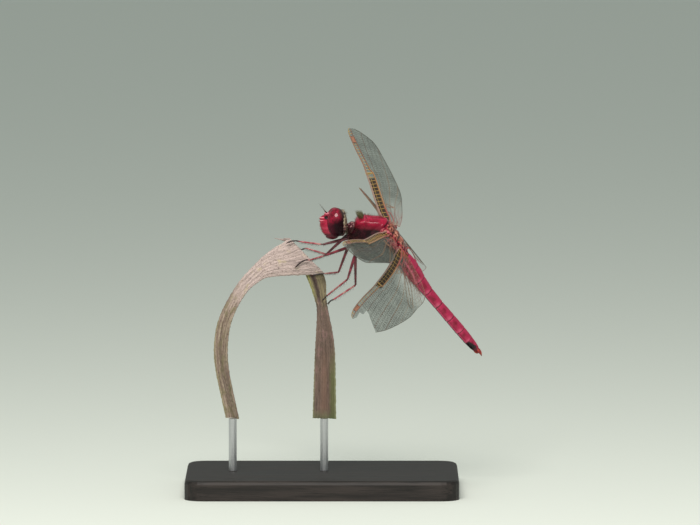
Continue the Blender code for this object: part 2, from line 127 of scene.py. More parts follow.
# Head, in its own frame.
EYE_CENTRE = (-0.01, 1.34, 0.3)
EYE_RADII = (1.51, 1.52, 2.34)
CAPSULE_CENTRE = (-0.75, 0.0, 0.2)
CAPSULE_RADII = (1.12, 2.5, 2.15)
FACE = (
    (1.35, 2.2, 0.95),
    (1.1, 2.5, 1.3),
    (0.6, 2.58, 1.5),
    (-0.3, 2.52, 1.55),
    (-1.0, 2.33, 1.5),
    (-1.6, 1.95, 1.35),
    (-2.05, 1.5, 1.1),
)
FACE_BACK = 0.15
MOUTH_CENTRE = (0.62, 0.0, -1.8)
MOUTH_RADII = (1.1, 1.2, 0.7)
VERTEX_CENTRE = (1.4, 0.0, 1.54)
VERTEX_RADII = (0.5, 0.72, 0.42)
ANTENNA = ((1.55, 0.5, 2.05), (2.1, 0.8, 2.6), (2.6, 1.15, 3.3))
COLLAR_IN_BODY = (8.7, 0.0, -3.5)
NECK_IN_HEAD = (-1.2, 0.0, -0.35)

# Legs: hip in the body frame (left side), then knee, ankle and foot points in the world.
HIPS = {"fore": (8.3, 0.95, -4.85), "mid": (7.0, 1.05, -5.5), "hind": (5.4, 1.15, -5.6)}
LEGS = {
    "fore_left": ((0.05, -2.75, 40.15), (-3.45, -0.85, 40.45), (-4.6, -0.75, 40.6), (-5.5, -0.85, 40.3)),
    "fore_right": ((0.65, 1.45, 38.2), (-2.6, 1.45, 39.2), (-3.5, 1.35, 38.9), (-4.2, 1.35, 38.4)),
    "mid_left": ((0.45, -4.5, 38.5), (-2.0, -1.05, 37.5), (-3.0, -0.75, 37.4), (-4.2, -0.75, 36.4)),
    "mid_right": ((2.65, 3.05, 35.15), (0.6, -0.75, 35.3), (-0.5, -0.75, 35.2), (-1.5, -0.8, 35.0)),
    "hind_left": ((4.1, -4.8, 34.7), (0.95, -1.35, 31.9), (0.55, -1.2, 31.5), (0.1, -1.2, 31.0)),
    "hind_right": ((5.4, 3.15, 33.05), (1.85, 0.1, 31.0), (1.35, -0.1, 30.8), (1.0, -0.6, 30.4)),
}

# The blade: the two edges of each of its strips, in the world.
BLADE_THICKNESS = 0.5
FOLD_UPPER = (
    (-5.3, 0.0, 41.0), (-6.4, 0.0, 40.1), (-7.5, 0.0, 39.5), (-8.75, 0.0, 38.6), (-9.8, 0.05, 37.75),
)
FOLD_LOWER = (
    (0.4, 0.0, 35.2), (-2.6, 0.0, 35.0), (-6.2, 0.0, 34.85), (-8.7, -0.05, 34.6), (-9.6, -0.1, 34.3),
)
CURL_OUTER = (
    (-9.8, 0.05, 37.75), (-12.75, 0.3, 34.65), (-14.55, 0.5, 32.1), (-16.2, 0.7, 29.0), (-17.15, 0.8, 26.1),
    (-17.5, 0.8, 22.5), (-17.2, 0.8, 19.3), (-16.6, 0.8, 16.3), (-15.6, 0.8, 11.7),
)
CURL_INNER = (
    (-9.6, -0.1, 34.3), (-11.5, -0.4, 32.9), (-12.85, -0.6, 31.2), (-14.1, -0.7, 28.9), (-14.95, -0.8, 26.3),
    (-15.3, -0.8, 22.7), (-15.1, -0.8, 19.5), (-14.5, -0.8, 16.2), (-13.55, -0.8, 11.7),
)
UPRIGHT_LEFT = (
    (-5.2, 0.62, 40.55), (-3.4, 0.75, 36.6), (-2.1, 0.8, 33.6), (-1.35, 0.7, 31.5), (-0.85, 0.5, 29.4),
    (-0.95, 0.5, 26.1), (-1.15, 0.6, 22.9), (-1.35, 0.7, 18.1), (-1.55, 0.8, 11.7),
)
UPRIGHT_RIGHT = (
    (0.35, 0.62, 34.75), (0.62, 0.5, 33.6), (0.65, 0.3, 32.4), (0.7, 0.0, 31.0), (0.9, -0.4, 29.4),
    (1.6, -0.7, 26.1), (2.0, -0.8, 22.9), (2.15, -0.8, 18.1), (2.2, -0.8, 11.7),
)
SPLINTER = ((-5.75, 0.05, 40.72), (-6.7, 0.0, 40.75), (-7.75, -0.1, 40.95))

# What each kind of vein writes in its place, for vein_finish to colour it by.
RANK = {
    "fine": 0.1,
    "trailing": 0.3,
    "loop": 0.42,
    "row": 0.45,
    "inner": 0.6,
    "triangle": 0.65,
    "stem": 0.7,
    "second": 0.83,
    "ladder": 0.86,
    "front": 1.0,
}

# Stage: angles in degrees; distances, sizes and targets in metres.
KEY_AZIMUTH, KEY_ELEVATION, KEY_DISTANCE = -5.0, 45.0, 0.55
KEY_TARGET = (0.0, 0.0, 0.04)
KEY_SIZE = (0.4, 0.25)
CAMERA_AZIMUTH, CAMERA_ELEVATION, CAMERA_DISTANCE = 0.0, 5.0, 1.19167
CAMERA_TARGET = (0.0045, 0.0, 0.037)
CAMERA_LENS, CAMERA_SENSOR = 380.0, 36.0
FLOOR_REACH = 30

# Half the width of each hair's patch on its piece's chart, as a share of the chart.
PATCH_RADIUS = 0.0015


# Curves, frames and closed surfaces


def smooth_through(points, count):
    """Points at even steps along the Catmull-Rom curve: between b and c it leaves with slope (c - a) / 2."""
    rows = np.asarray(points, dtype=float)
    padded = np.vstack((2 * rows[0] - rows[1], rows, 2 * rows[-1] - rows[-2]))
    steps = np.linspace(0.0, len(rows) - 1, count)
    starts = np.minimum(steps.astype(int), len(rows) - 2)
    t = (steps - starts)[:, None]
    a, b, c, d = (padded[starts + k] for k in range(4))
    return b + 0.5 * t * ((c - a) + t * ((2 * a - 5 * b + 4 * c - d) + t * (3 * b - 3 * c + d - a)))


def stance(place, turn):
    """The 4 x 4 matrix that turns by roll, pitch and heading in degrees, then moves."""
    turned = Euler([math.radians(angle) for angle in turn]).to_matrix().to_4x4()
    return np.array(Matrix.Translation(place) @ turned)


WORLD = np.eye(4)
BODY = stance(BODY_PLACE, BODY_TURN)
HEAD = stance(HEAD_PLACE, HEAD_TURN)


def carried(points, frame_matrix):
    """Points of a frame, in the world."""
    return np.asarray(points, dtype=float) @ frame_matrix[:3, :3].T + frame_matrix[:3, 3]


def unit(vectors):
    """Each vector divided by its length."""
    return vectors / np.maximum(np.linalg.norm(vectors, axis=-1, keepdims=True), 1e-9)


def ease(value, low, high):
    """0 up to `low`, 1 from `high`, and 3 s^2 - 2 s^3 between them."""
    s = np.clip((value - low) / (high - low), 0.0, 1.0)
    return s * s * (3 - 2 * s)


def hill(value, centre, width):
    """A bell of height 1 at `centre`: exp(-((value - centre) / width)^2)."""
    return np.exp(-(((value - centre) / width) ** 2))


def waver(*values):
    """A smooth, repeatable ripple between -1 and 1: the mean of sines of mixed sums of the values."""
    mixed = sum((k + 1.3) * value for k, value in enumerate(values))
    return (np.sin(mixed) + np.sin(1.7 * mixed + 2.1) + np.sin(2.9 * mixed + 0.7)) / 3


class Form:
    """One piece in the making: patches of points with their places and faces, gathered until make()."""

    def __init__(self):
        self.points, self.places, self.patches, self.faces = [], [], [], []
        self.total = 0

    def add(self, points, places, faces, patches=None):
        """A closed patch. Its faces are turned round if the volume that they enclose comes out negative."""
        points = np.asarray(points, dtype=float).reshape(-1, 3)
        volume = 0.0
        for group in faces:
            first, second, last = points[group[:, 0]], points[group[:, 1:-1]], points[group[:, 2:]]
            volume += np.einsum("ni,nki->", first, np.cross(second, last))
        for group in faces:
            self.faces += ((group if volume > 0 else group[:, ::-1]) + self.total).tolist()
        self.points.append(points)
        self.places.append(np.broadcast_to(places, points.shape).reshape(-1, 3))
        if patches is not None:
            self.patches.append(patches)
        self.total += len(points)

    def skin(self, rings, places=None, strip=False):
        """A closed skin over rows of rings, closed by a fan to each end's middle, or by quads for a strip."""
        rows, columns = rings.shape[:2]
        places = rings if places is None else np.broadcast_to(places, rings.shape)
        start = np.arange(rows - 1)[:, None] * columns
        here, beyond = np.arange(columns)[None, :], (np.arange(columns)[None, :] + 1) % columns
        corners = (start + here, start + beyond, start + columns + beyond, start + columns + here)
        quads = np.stack(corners, axis=-1)
        faces = [quads.reshape(-1, 4)]
        if strip:
            j = np.arange(columns // 2 - 1)
            cap = np.stack((j + 1, j, columns - 1 - j, columns - 2 - j), axis=-1)
            faces += [cap, cap[:, ::-1] + (rows - 1) * columns]
            self.add(rings.reshape(-1, 3), places.reshape(-1, 3), faces)
            return
        ends = rings[[0, -1]].mean(axis=1), places[[0, -1]].mean(axis=1)
        j = np.arange(columns)
        first = np.stack(((j + 1) % columns, j, np.full(columns, rows * columns)), axis=-1)
        last = np.stack((j, (j + 1) % columns, np.full(columns, rows * columns + 1)), axis=-1)
        last[:, :2] += (rows - 1) * columns
        joined = [np.vstack((grid.reshape(-1, 3), end)) for grid, end in zip((rings, places), ends)]
        self.add(*joined, faces + [first, last])

    def plate(self, grid, thickness, places):
        """A thin closed plate: the grid moved half the thickness each way along its normals."""
        normals = unit(np.cross(np.gradient(grid, axis=1), np.gradient(grid, axis=0)))
        half = normals * np.asarray(thickness)[..., None] / 2
        rings = np.concatenate((grid + half, (grid - half)[:, ::-1]), axis=1)
        self.skin(rings, np.concatenate((places, places[:, ::-1]), axis=1), strip=True)

    def ball(self, frame_matrix, centre, radii, rows=24, columns=36, shape=None):
        """An oval ball: centre + radii (cos f cos t, cos f sin t, sin f), which `shape` may alter."""
        lift = np.linspace(-math.pi / 2, math.pi / 2, rows + 2)[1:-1, None]
        turn = np.arange(columns)[None, :] * math.tau / columns
        flat = np.cos(lift)
        rounds = np.stack((flat * np.cos(turn), flat * np.sin(turn), np.sin(lift) + 0 * turn), axis=-1)
        own = np.asarray(centre) + np.asarray(radii) * rounds
        own = own if shape is None else shape(own)
        self.skin(carried(own, frame_matrix), own)

    def tube(self, path, radii, sides=10, steps=None, place=None, frame_matrix=WORLD, blunt=True):
        """Circles across a smooth path, closer at its ends, where blunt tubes are rounded off.

        Within one radius r of an end, at distance d, the circle's radius is sqrt(r^2 - (r - d)^2).
        A point's place is its way along the path from 0 to 1, its turn in radians, and its distance.
        """
        steps = steps or 6 * len(path)
        knots = smooth_through(np.column_stack((path, radii)), 12 * steps)
        share = (1 - np.cos(np.linspace(0.0, math.pi, steps))) / 2
        middle, radius = (smooth_sample(knots[:, part], share) for part in (slice(0, 3), slice(3, 4)))
        middle = carried(middle, frame_matrix)
        ahead = unit(np.gradient(middle, axis=0))
        reference = np.eye(3)[np.argmin(np.abs(ahead.mean(axis=0)))]
        across = unit(np.cross(ahead, reference))
        sideways = np.cross(ahead, across)
        gone = np.concatenate(((0.0,), np.cumsum(np.linalg.norm(np.diff(middle, axis=0), axis=1))))[:, None]
        if blunt:
            near = np.minimum(gone, gone[-1] - gone)
            short = np.maximum(radius - near, 0.0)
            radius = np.sqrt(np.maximum(radius**2 - short**2, (0.04 * radius) ** 2))
        turn = np.arange(sides) * math.tau / sides
        swing = across[:, None] * np.cos(turn)[None, :, None]
        swing = swing + sideways[:, None] * np.sin(turn)[None, :, None]
        rings = middle[:, None] + swing * radius[:, None]
        own = np.stack(np.broadcast_arrays(share[:, None], turn[None, :], gone), axis=-1)
        self.skin(rings, own if place is None else place)

    def needles(self, roots, ways, lengths, width, places, patches, bend=(0.0, 0.0, 0.0)):
        """Fine three-sided hairs: a ring at the root, one at half the length pushed by `bend`, a point."""
        count = len(roots)
        ways, lengths = unit(ways), np.broadcast_to(lengths, count)[:, None]
        side = unit(np.cross(ways, (0.31, 0.77, 0.55)))
        other = np.cross(ways, side)
        turn = np.arange(3) * math.tau / 3
        ring = side[:, None] * np.cos(turn)[None, :, None] + other[:, None] * np.sin(turn)[None, :, None]
        ring *= np.broadcast_to(width, count)[:, None, None] / 2
        middle = roots + ways * lengths * 0.5 + np.asarray(bend) * lengths * 0.12
        tip = roots + ways * lengths + np.asarray(bend) * lengths * 0.4
        points = np.concatenate((roots[:, None] + ring, middle[:, None] + ring * 0.7, tip[:, None]), axis=1)
        base = 7 * np.arange(count)[:, None, None]
        quads = base + np.array([[k, (k + 1) % 3, 3 + (k + 1) % 3, 3 + k] for k in range(3)])
        thirds = base + np.array([[3, 4, 6], [4, 5, 6], [5, 3, 6], [2, 1, 0]])
        spots = np.concatenate((turn, turn, (0.0,)))
        reach = np.array([1.0] * 3 + [0.6] * 3 + [0.0])[:, None] * PATCH_RADIUS
        circle = np.column_stack((np.cos(spots), np.sin(spots))) * reach
        patches = (patches[:, None] + circle[None]).reshape(-1, 2)
        own = np.repeat(places, 7, axis=0).reshape(count, 7, 3).copy()
        own[:, 3:6, 2], own[:, 6, 2] = 0.5, 1.0
        faces = [quads.reshape(-1, 4), thirds.reshape(-1, 3)]
        self.add(points.reshape(-1, 3), own.reshape(-1, 3), faces, patches)

    def make(self, name, finish, slot, *nodes):
        """The finished object in metres, which stands for the CAD nodes named."""
        mesh = bpy.data.meshes.new(name)
        mesh.from_pydata((np.concatenate(self.points) * MM).tolist(), [], self.faces)
        places = mesh.attributes.new("place", "FLOAT_VECTOR", "POINT")
        places.data.foreach_set("vector", np.concatenate(self.places).astype(np.float32).ravel())
        if self.patches:
            corners = np.empty(len(mesh.loops), dtype=np.int32)
            mesh.loops.foreach_get("vertex_index", corners)
            chart = mesh.uv_layers.new(name="OFBake")
            chart.uv.foreach_set("vector", np.concatenate(self.patches)[corners].astype(np.float32).ravel())
        mesh.shade_smooth()
        mesh.set_sharp_from_angle(angle=math.radians(50))
        mesh.materials.append(finish)
        piece = bpy.data.objects.new(name, mesh)
        bpy.context.scene.collection.objects.link(piece)
        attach(piece, "root")
        if nodes:
            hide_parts(*nodes)
        return piece


def smooth_sample(rows, share):
    """Rows of a table read at shares of its length, with straight lines between neighbours."""
    spots = share * (len(rows) - 1)
    low = np.minimum(spots.astype(int), len(rows) - 2)
    return rows[low] + (spots - low)[:, None] * (rows[low + 1] - rows[low])


# Finishes


class Value:
    """A shader output that takes part in Python sums: each operation adds a Math node."""

    def __init__(self, finish, socket):
        self.finish, self.socket = finish, socket

    def maths(self, operation, *values):
        return self.finish.add("ShaderNodeMath", {"operation": operation}, dict(enumerate(values)))

    def __add__(self, other):
        return self.maths("ADD", self, other)

    __radd__ = __add__

    def __sub__(self, other):
        return self.maths("SUBTRACT", self, other)

    def __rsub__(self, other):
        return self.maths("SUBTRACT", other, self)

    def __mul__(self, other):
        return self.maths("MULTIPLY", self, other)

    __rmul__ = __mul__

    def __pow__(self, other):
        return self.maths("POWER", self, other)

    def __abs__(self):
        return self.maths("ABSOLUTE", self)

    def ease(self, low, high):
        """0 up to `low`, 1 from `high`, smooth between; the other way round where low is above high."""
        ends = {"From Min": low, "From Max": high, "Value": self}
        return self.finish.add("ShaderNodeMapRange", {"interpolation_type": "SMOOTHSTEP"}, ends)

    def near(self, centre, steepness, full=1.0):
        """A band: 0 beyond 1 / steepness from `centre`, and 1 within (1 - full) / steepness of it."""
        return (1 - abs(self - centre) * steepness).ease(0.0, full)


class Finish:
    """A material in the making: its node tree, and the Principled shader that constants are set on."""

    def __init__(self, name, **constants):
        self.material = bpy.data.materials.new(name)
        self.material.use_nodes = True
        self.tree = self.material.node_tree
        self.shader = self.tree.nodes["Principled BSDF"]
        for socket, constant in constants.items():
            self.shader.inputs[socket.replace("_", " ")].default_value = constant

    def add(self, kind, settings=None, inputs=None, output=0):
        """A node of that type, its settings first, then the values or links of its sockets."""
        node = self.tree.nodes.new(kind)
        for setting, choice in (settings or {}).items():
            setattr(node, setting, choice)
        for socket, value in (inputs or {}).items():
            if isinstance(value, Value):
                self.tree.links.new(value.socket, node.inputs[socket])
            else:
                node.inputs[socket].default_value = value
        return Value(self, node.outputs[output])

    def place(self):
        """The point's place on the animal as a vector, and its three numbers."""
        whole = self.add("ShaderNodeAttribute", {"attribute_name": "place"}, output="Vector")
        return (whole, *self.parts(whole))

    def metres(self):
        """Object coordinates and their three numbers."""
        whole = self.add("ShaderNodeTexCoord", output="Object")
        return (whole, *self.parts(whole))

    def parts(self, vector):
        """The three numbers of a vector."""
        return [self.add("ShaderNodeSeparateXYZ", None, {0: vector}, axis) for axis in "XYZ"]

    def vector(self, x, y, z):
        """A vector of three numbers."""
        return self.add("ShaderNodeCombineXYZ", None, {"X": x, "Y": y, "Z": z})

    def noise(self, vector, scale, detail=3.0, rough=0.55):
        """Soft noise around 0.5."""
        sockets = {"Vector": vector, "Scale": scale, "Detail": detail, "Roughness": rough}
        return self.add("ShaderNodeTexNoise", None, sockets)

    def cells(self, vector, scale, feature="DISTANCE_TO_EDGE"):
        """Distances in a pattern of cells, to their walls or to their middles."""
        sockets = {"Vector": vector, "Scale": scale}
        return self.add("ShaderNodeTexVoronoi", {"feature": feature}, sockets, "Distance")

    def mix(self, first, second, share):
        """One colour turning into another as the share goes from 0 to 1."""
        first, second = (end if isinstance(end, Value) else (*end[:3], 1.0) for end in (first, second))
        sockets = {0: share, 6: first, 7: second}
        return self.add("ShaderNodeMix", {"data_type": "RGBA", "clamp_factor": True}, sockets, 2)

    def bump(self, height, depth, strength=1.0):
        """A normal from a height of 0 to 1 that stands for `depth` millimetres."""
        sockets = {"Strength": strength, "Distance": depth * MM, "Height": height}
        return self.add("ShaderNodeBump", None, sockets)

    def done(self, **varied):
        """Link what changes over the surface, and hand over the material."""
        for socket, value in varied.items():
            self.tree.links.new(value.socket, self.shader.inputs[socket.replace("_", " ")])
        return self.material


def shade(colour, factor):
    """The colour made darker or lighter."""
    return tuple(min(1.0, part * factor) for part in colour[:3])


def eye_finish(look):
    """Crimson above and nearly black below, partly the eye's own two tones and partly painted shade, over
    fine six-sided facets, under a clear coat.
    """
    finish = Finish("compound_eye", Roughness=0.4, Specular_IOR_Level=0.08, Coat_Roughness=0.06)
    place, x, _, z = finish.place()
    patchy = finish.noise(place, 1.6, 2.0)
    above = (z + 0.42 * x + 0.9 * (patchy - 0.5)).ease(0.0, 1.35)
    patches = finish.noise(place, 3.1).ease(0.4, 0.62)
    red = finish.mix(shade(look.crimson, 0.72), shade(look.crimson, 0.32), patches)
    red = finish.mix(red, (0.035, 0.012, 0.009), (x - 0.25 * z).ease(-0.55, -1.25))
    # The nearly black lower half: partly the eye's own dark colour, partly painted shade under the eye.
    under = finish.mix((0.01, 0.0008, 0.003), (0.055, 0.002, 0.011), (x - 0.3 * z).ease(0.3, 1.4))
    facets = finish.cells(place, 17.0)
    colour = finish.mix(under, red, above)
    relief = finish.bump(facets.ease(0.0, 0.25), 0.004)
    return finish.done(Base_Color=colour, Coat_Weight=0.08 + 0.5 * above, Normal=relief)


def capsule_finish(look):
    """The back of the head: a pale rim round the eye in short scallops, brown and darker behind it."""
    finish = Finish("capsule_cuticle", Roughness=0.55)
    place, x, y, z = finish.place()
    mottle, scallops = finish.noise(place, 2.2), finish.noise(place, 3.2, 0.0)
    rim = (x + 0.4 * (mottle - 0.5)).ease(-1.85, -1.65)
    pale = finish.mix((0.27, 0.21, 0.14), (0.36, 0.15, 0.14), (z + 0.5 * y).ease(1.4, 0.3))
    pale = finish.mix(pale, (0.03, 0.006, 0.008), scallops.ease(0.48, 0.57))
    brown = finish.mix((0.03, 0.008, 0.007), (0.1, 0.045, 0.03), mottle.ease(0.4, 0.6))
    colour = finish.mix(finish.mix(brown, pale, rim), (0.03, 0.006, 0.008), z.ease(-0.7, -1.3) * 0.8)
    return finish.done(Base_Color=colour, Normal=finish.bump(finish.noise(place, 5.0), 0.03))


def face_finish(look):
    """Glossy red face: paler along its sides and grooves, darker towards the mouth, with fine pits; painted
    highlights on the forehead rolls and the forehead bump, and painted shade in the pocket beside the bump.
    """
    gloss = {"Specular_IOR_Level": 0.3, "Coat_Weight": 0.16, "Coat_Roughness": 0.14}
    finish = Finish("face_cuticle", Roughness=0.34, **gloss)
    place, x, y, z = finish.place()
    mottle = finish.noise(place, 1.6)
    red = finish.mix(shade(look.crimson, 1.05), shade(look.crimson, 0.62), mottle.ease(0.35, 0.68))
    red = finish.mix(red, look.pink, abs(y).ease(0.9, 1.5) * z.ease(0.9, 0.2) * 0.15)
    red = finish.mix(red, look.pink, z.near(-0.62, 7) * 0.3)
    # Pink on the top of the forehead bump: a painted highlight.
    red = finish.mix(red, (0.72, 0.22, 0.28), z.ease(1.5, 1.75) * 0.8)
    # Pale pink bands along the two forehead rolls: painted highlights.
    rolls = z.near(1.05, 9) + z.near(0.6, 10)
    red = finish.mix(red, (0.95, 0.36, 0.42), rolls * (1.15 - abs(y)).ease(0.0, 0.5))
    edge = (0.5 - abs(y + 0.1)).ease(0.0, 0.3) * z.ease(0.0, -0.4) * z.ease(-1.9, -1.5)
    red = finish.mix(red, (0.35, 0.16, 0.16), edge * 0.6)
    # A maroon pocket between the forehead bump and the eye: painted shade in the gap.
    pocket_shade = (1 - ((x - 1.62) ** 2 + (z - 1.08) ** 2) * 6).ease(0.0, 0.7) * abs(y).ease(0.5, 0.8)
    red = finish.mix(red, shade(look.maroon, 0.3), pocket_shade)
    red = finish.mix(red, shade(look.maroon, 0.9), z.ease(-1.25, -1.8) * 0.85)
    pits = finish.cells(place, 5.0, "F1")
    return finish.done(Base_Color=red, Normal=finish.bump(pits.ease(0.0, 0.5), 0.004))


def thorax_finish(look):
    """Red shoulders with painted shade down their sides and a painted pink sheen on top, nearly black sides
    that are partly their own colour and partly painted shade, and orange-brown plates between the wings with
    painted glints, and painted shade in their gaps and in the crease before them.
    """
    finish = Finish("thorax_cuticle", Specular_IOR_Level=0.14, Coat_Roughness=0.14)
    place, x, y, z = finish.place()
    mottle, grain = finish.noise(place, 1.1), finish.noise(place, 4.0)
    slope = z + 1.2 * x - 8.3 + 0.5 * (mottle - 0.5)
    red = finish.mix(look.crimson, shade(look.crimson, 0.6), mottle.ease(0.4, 0.7))
    # Down the side, below the shoulder, the red darkens: painted shade.
    red = finish.mix(shade(look.crimson, 0.36), red, slope.ease(0.5, 1.9))
    # Paler pink towards the top, where the light falls: painted sheen.
    red = finish.mix(red, look.pink, slope.ease(1.8, 2.8) * mottle.ease(0.62, 0.42) * 0.35)
    # The nearly black sides: partly their own dark maroon, partly painted shade.
    side = finish.mix(shade(look.maroon, 0.15), shade(look.maroon, 0.75), mottle.ease(0.42, 0.66))
    band = (x + 0.42 * z).ease(3.2, 3.6) * (x + 0.42 * z).ease(4.6, 4.2)
    side = finish.mix(side, (0.08, 0.025, 0.035), band * 0.5)
    side = finish.mix(side, (0.12, 0.07, 0.055), z.ease(-4.4, -5.5))
    red = finish.mix(red, (0.5, 0.045, 0.1), x.ease(9.0, 9.7) * z.ease(-1.2, -0.4))
    # Red above and the nearly black side below: the line between them is partly a real change of colour,
    # partly painted shade.
    colour = finish.mix(side, red, slope.ease(-0.2, 0.6))
    plates = finish.mix(shade(look.hinge, 1.3), shade(look.hinge, 0.65), grain.ease(0.42, 0.6))
    # Over the plates, nearly black patches are painted shade in the gaps and pink patches are painted glints.
    gaps = finish.noise(place, 2.4)
    plates = finish.mix(plates, shade(look.maroon, 0.8), gaps.ease(0.5, 0.58))
    plates = finish.mix(plates, (0.6, 0.27, 0.2), gaps.ease(0.42, 0.36))
    # Before the plates, pink patches on the red are painted highlights and maroon patches are painted shade.
    fold_light_and_shade = finish.noise(place, 2.0, 1.0)
    fold = finish.mix(shade(look.crimson, 0.7), (0.6, 0.16, 0.19), fold_light_and_shade.ease(0.52, 0.62))
    fold = finish.mix(fold, shade(look.maroon, 0.4), fold_light_and_shade.ease(0.45, 0.38))
    colour = finish.mix(colour, fold, x.ease(6.9, 6.3) * z.ease(0.2, 0.6))
    colour = finish.mix(colour, plates, x.ease(6.45, 6.15) * z.ease(1.3, 1.6))
    # A dark band across, in front of the plates: painted shade in the crease.
    crease_shade = (x + 0.3 * (fold_light_and_shade - 0.5)).near(6.62, 4.5, 0.8) * z.ease(0.9, 1.3)
    colour = finish.mix(colour, shade(look.maroon, 0.5), crease_shade * 0.85)
    flank = abs(y).ease(1.5, 1.72)
    gloss = {"Roughness": 0.3 + 0.3 * flank, "Coat_Weight": 0.35 - 0.35 * flank}
    return finish.done(Base_Color=colour, Normal=finish.bump(grain, 0.012), **gloss)


def hinge_finish(look):
    """The plates at the wing roots: pinkish brown, with nearly black patches painted as shade in the gaps."""
    finish = Finish("wing_hinges", Roughness=0.4, Specular_IOR_Level=0.3)
    metres = finish.metres()[0]
    mottle, grain = finish.noise(metres, 1300.0), finish.noise(metres, 5000.0)
    colour = finish.mix((0.36, 0.05, 0.045), (0.55, 0.2, 0.17), mottle.ease(0.5, 0.6))
    # Nearly black patches: painted shade in the gaps between the plates.
    colour = finish.mix(colour, shade(look.maroon, 0.6), mottle.ease(0.49, 0.42))
    return finish.done(Base_Color=colour, Normal=finish.bump(grain, 0.03))


def abdomen_finish(look):
    """Blotched pink-red rings, pinker at their hind edges, with thin dark joints; black beneath the tail. A
    painted pink highlight runs along the side ridge, painted shade lies in the valleys by it at the base, and
    the maroon underside is partly painted shade.
    """
    finish = Finish("abdomen_cuticle", Specular_IOR_Level=0.3, Coat_Weight=0.12, Coat_Roughness=0.3)
    _, ring, _, up = finish.place()
    metres = finish.metres()[0]
    mottle, grain = finish.noise(metres, 1100.0), finish.noise(metres, 4200.0)
    phase = finish.add("ShaderNodeMath", {"operation": "FRACT"}, {0: ring})
    blotch = phase.ease(0.0, 0.35) * phase.ease(0.85, 0.4) * up.near(0.3, 1.6, 0.7)
    blotches = (0.6 * blotch + 1.9 * (mottle - 0.5)).ease(-0.1, 0.9) * 0.8
    red = finish.mix(look.scarlet, shade(look.crimson, 0.38), blotches)
    red = finish.mix(red, look.pink, phase.ease(0.7, 0.9) * up.ease(0.9, 0.3) * 0.55)
    # At the base: painted shade in the valleys on each side of the side ridge, and a painted pink highlight
    # along the ridge, which runs on, fainter, down the whole abdomen.
    base = ring.ease(3.4, 1.8)
    ridge = up + 0.44 - 0.6 * base
    valley_shade = abs(ridge).near(0.3, 4) * base
    red = finish.mix(red, shade(look.crimson, 0.22), valley_shade * 0.85)
    red = finish.mix(red, (0.75, 0.16, 0.26), ridge.near(0.0, 7) * (0.55 + 0.35 * base))
    # Maroon underneath: partly the underside's own colour, partly painted shade.
    under = finish.mix(look.maroon, shade(look.maroon, 0.4), grain.ease(0.4, 0.6))
    red = finish.mix(red, under, (up + 0.15 * (mottle - 0.5)).ease(-0.56, -0.68))
    joint = phase.ease(0.965, 0.985) + phase.ease(0.035, 0.012)
    red = finish.mix(red, (0.03, 0.004, 0.006), joint * 0.75)
    tail = ring.ease(7.95, 8.1) * (up - 0.45 * (ring - 8.3)).ease(0.55, 0.25) * ring.ease(9.45, 9.15)
    tail = tail + ring.ease(6.6, 7.2) * ring.ease(8.2, 8.0) * up.ease(-0.5, -0.62)
    red = finish.mix(red, shade(look.maroon, 1.4), ring.ease(8.9, 9.1) * up.ease(0.8, 0.4) * 0.9)
    red = finish.mix(red, (0.008, 0.002, 0.004), tail)
    return finish.done(Base_Color=red, Normal=finish.bump(grain, 0.025), Roughness=0.3 + 0.25 * mottle)


def tail_finish(look):
    """Orange-red, darker at the tips."""
    finish = Finish("tail_orange", Roughness=0.35)
    tipwards = finish.place()[1]
    metres = finish.metres()[0]
    colour = finish.mix(look.orange, shade(look.crimson, 0.5), finish.noise(metres, 2500.0).ease(0.4, 0.65))
    colour = finish.mix(colour, (0.05, 0.008, 0.006), tipwards.ease(0.75, 1.0) * 0.7)
    return finish.done(Base_Color=colour, Normal=finish.bump(finish.noise(metres, 6000.0), 0.02))


def leg_finish(look):
    """Dark crimson thighs and paler pink shins, partly their own colours and partly painted shade and painted
    light; thighs turn maroon towards the hip as painted shade; brown feet, and nearly black knees.
    """
    finish = Finish("leg_red", Roughness=0.4, Coat_Weight=0.1)
    along = finish.place()[1]
    metres = finish.metres()[0]
    grain, patches = finish.noise(metres, 3000.0), finish.noise(metres, 900.0, 1.0)
    # Thighs darker than the shins: partly their own colour, partly painted shade.
    thigh = finish.mix(shade(look.leg_red, 0.62), shade(look.leg_red, 0.25), patches.ease(0.4, 0.6))
    # Maroon towards the hip: painted shade under the body.
    thigh = finish.mix(shade(look.maroon, 1.2), thigh, along.ease(0.05, 0.45))
    # Pale pink patches on the shins: partly their own colour, partly painted light.
    shin = finish.mix(look.leg_red, (0.5, 0.24, 0.22), patches.ease(0.45, 0.65))
    shin = finish.mix(shin, shade(look.leg_red, 0.5), grain.ease(0.52, 0.7))
    colour = finish.mix(thigh, shin, along.ease(0.9, 1.15))
    colour = finish.mix(colour, (0.016, 0.006, 0.006), along.ease(1.97, 2.2))
    knees = along.near(1.0, 12)
    colour = finish.mix(colour, (0.02, 0.004, 0.004), knees * 0.75)
    return finish.done(Base_Color=colour, Normal=finish.bump(grain, 0.02))


def dark_finish(look):
    """Nearly black brown horn, for feelers, bristles and claws."""
    finish = Finish("dark_cuticle", Roughness=0.4)
    metres = finish.metres()[0]
    grain = finish.noise(metres, 5000.0)
    colour = finish.mix((0.02, 0.007, 0.006), (0.06, 0.016, 0.012), grain.ease(0.4, 0.6))
    return finish.done(Base_Color=colour, Normal=finish.bump(grain, 0.01))


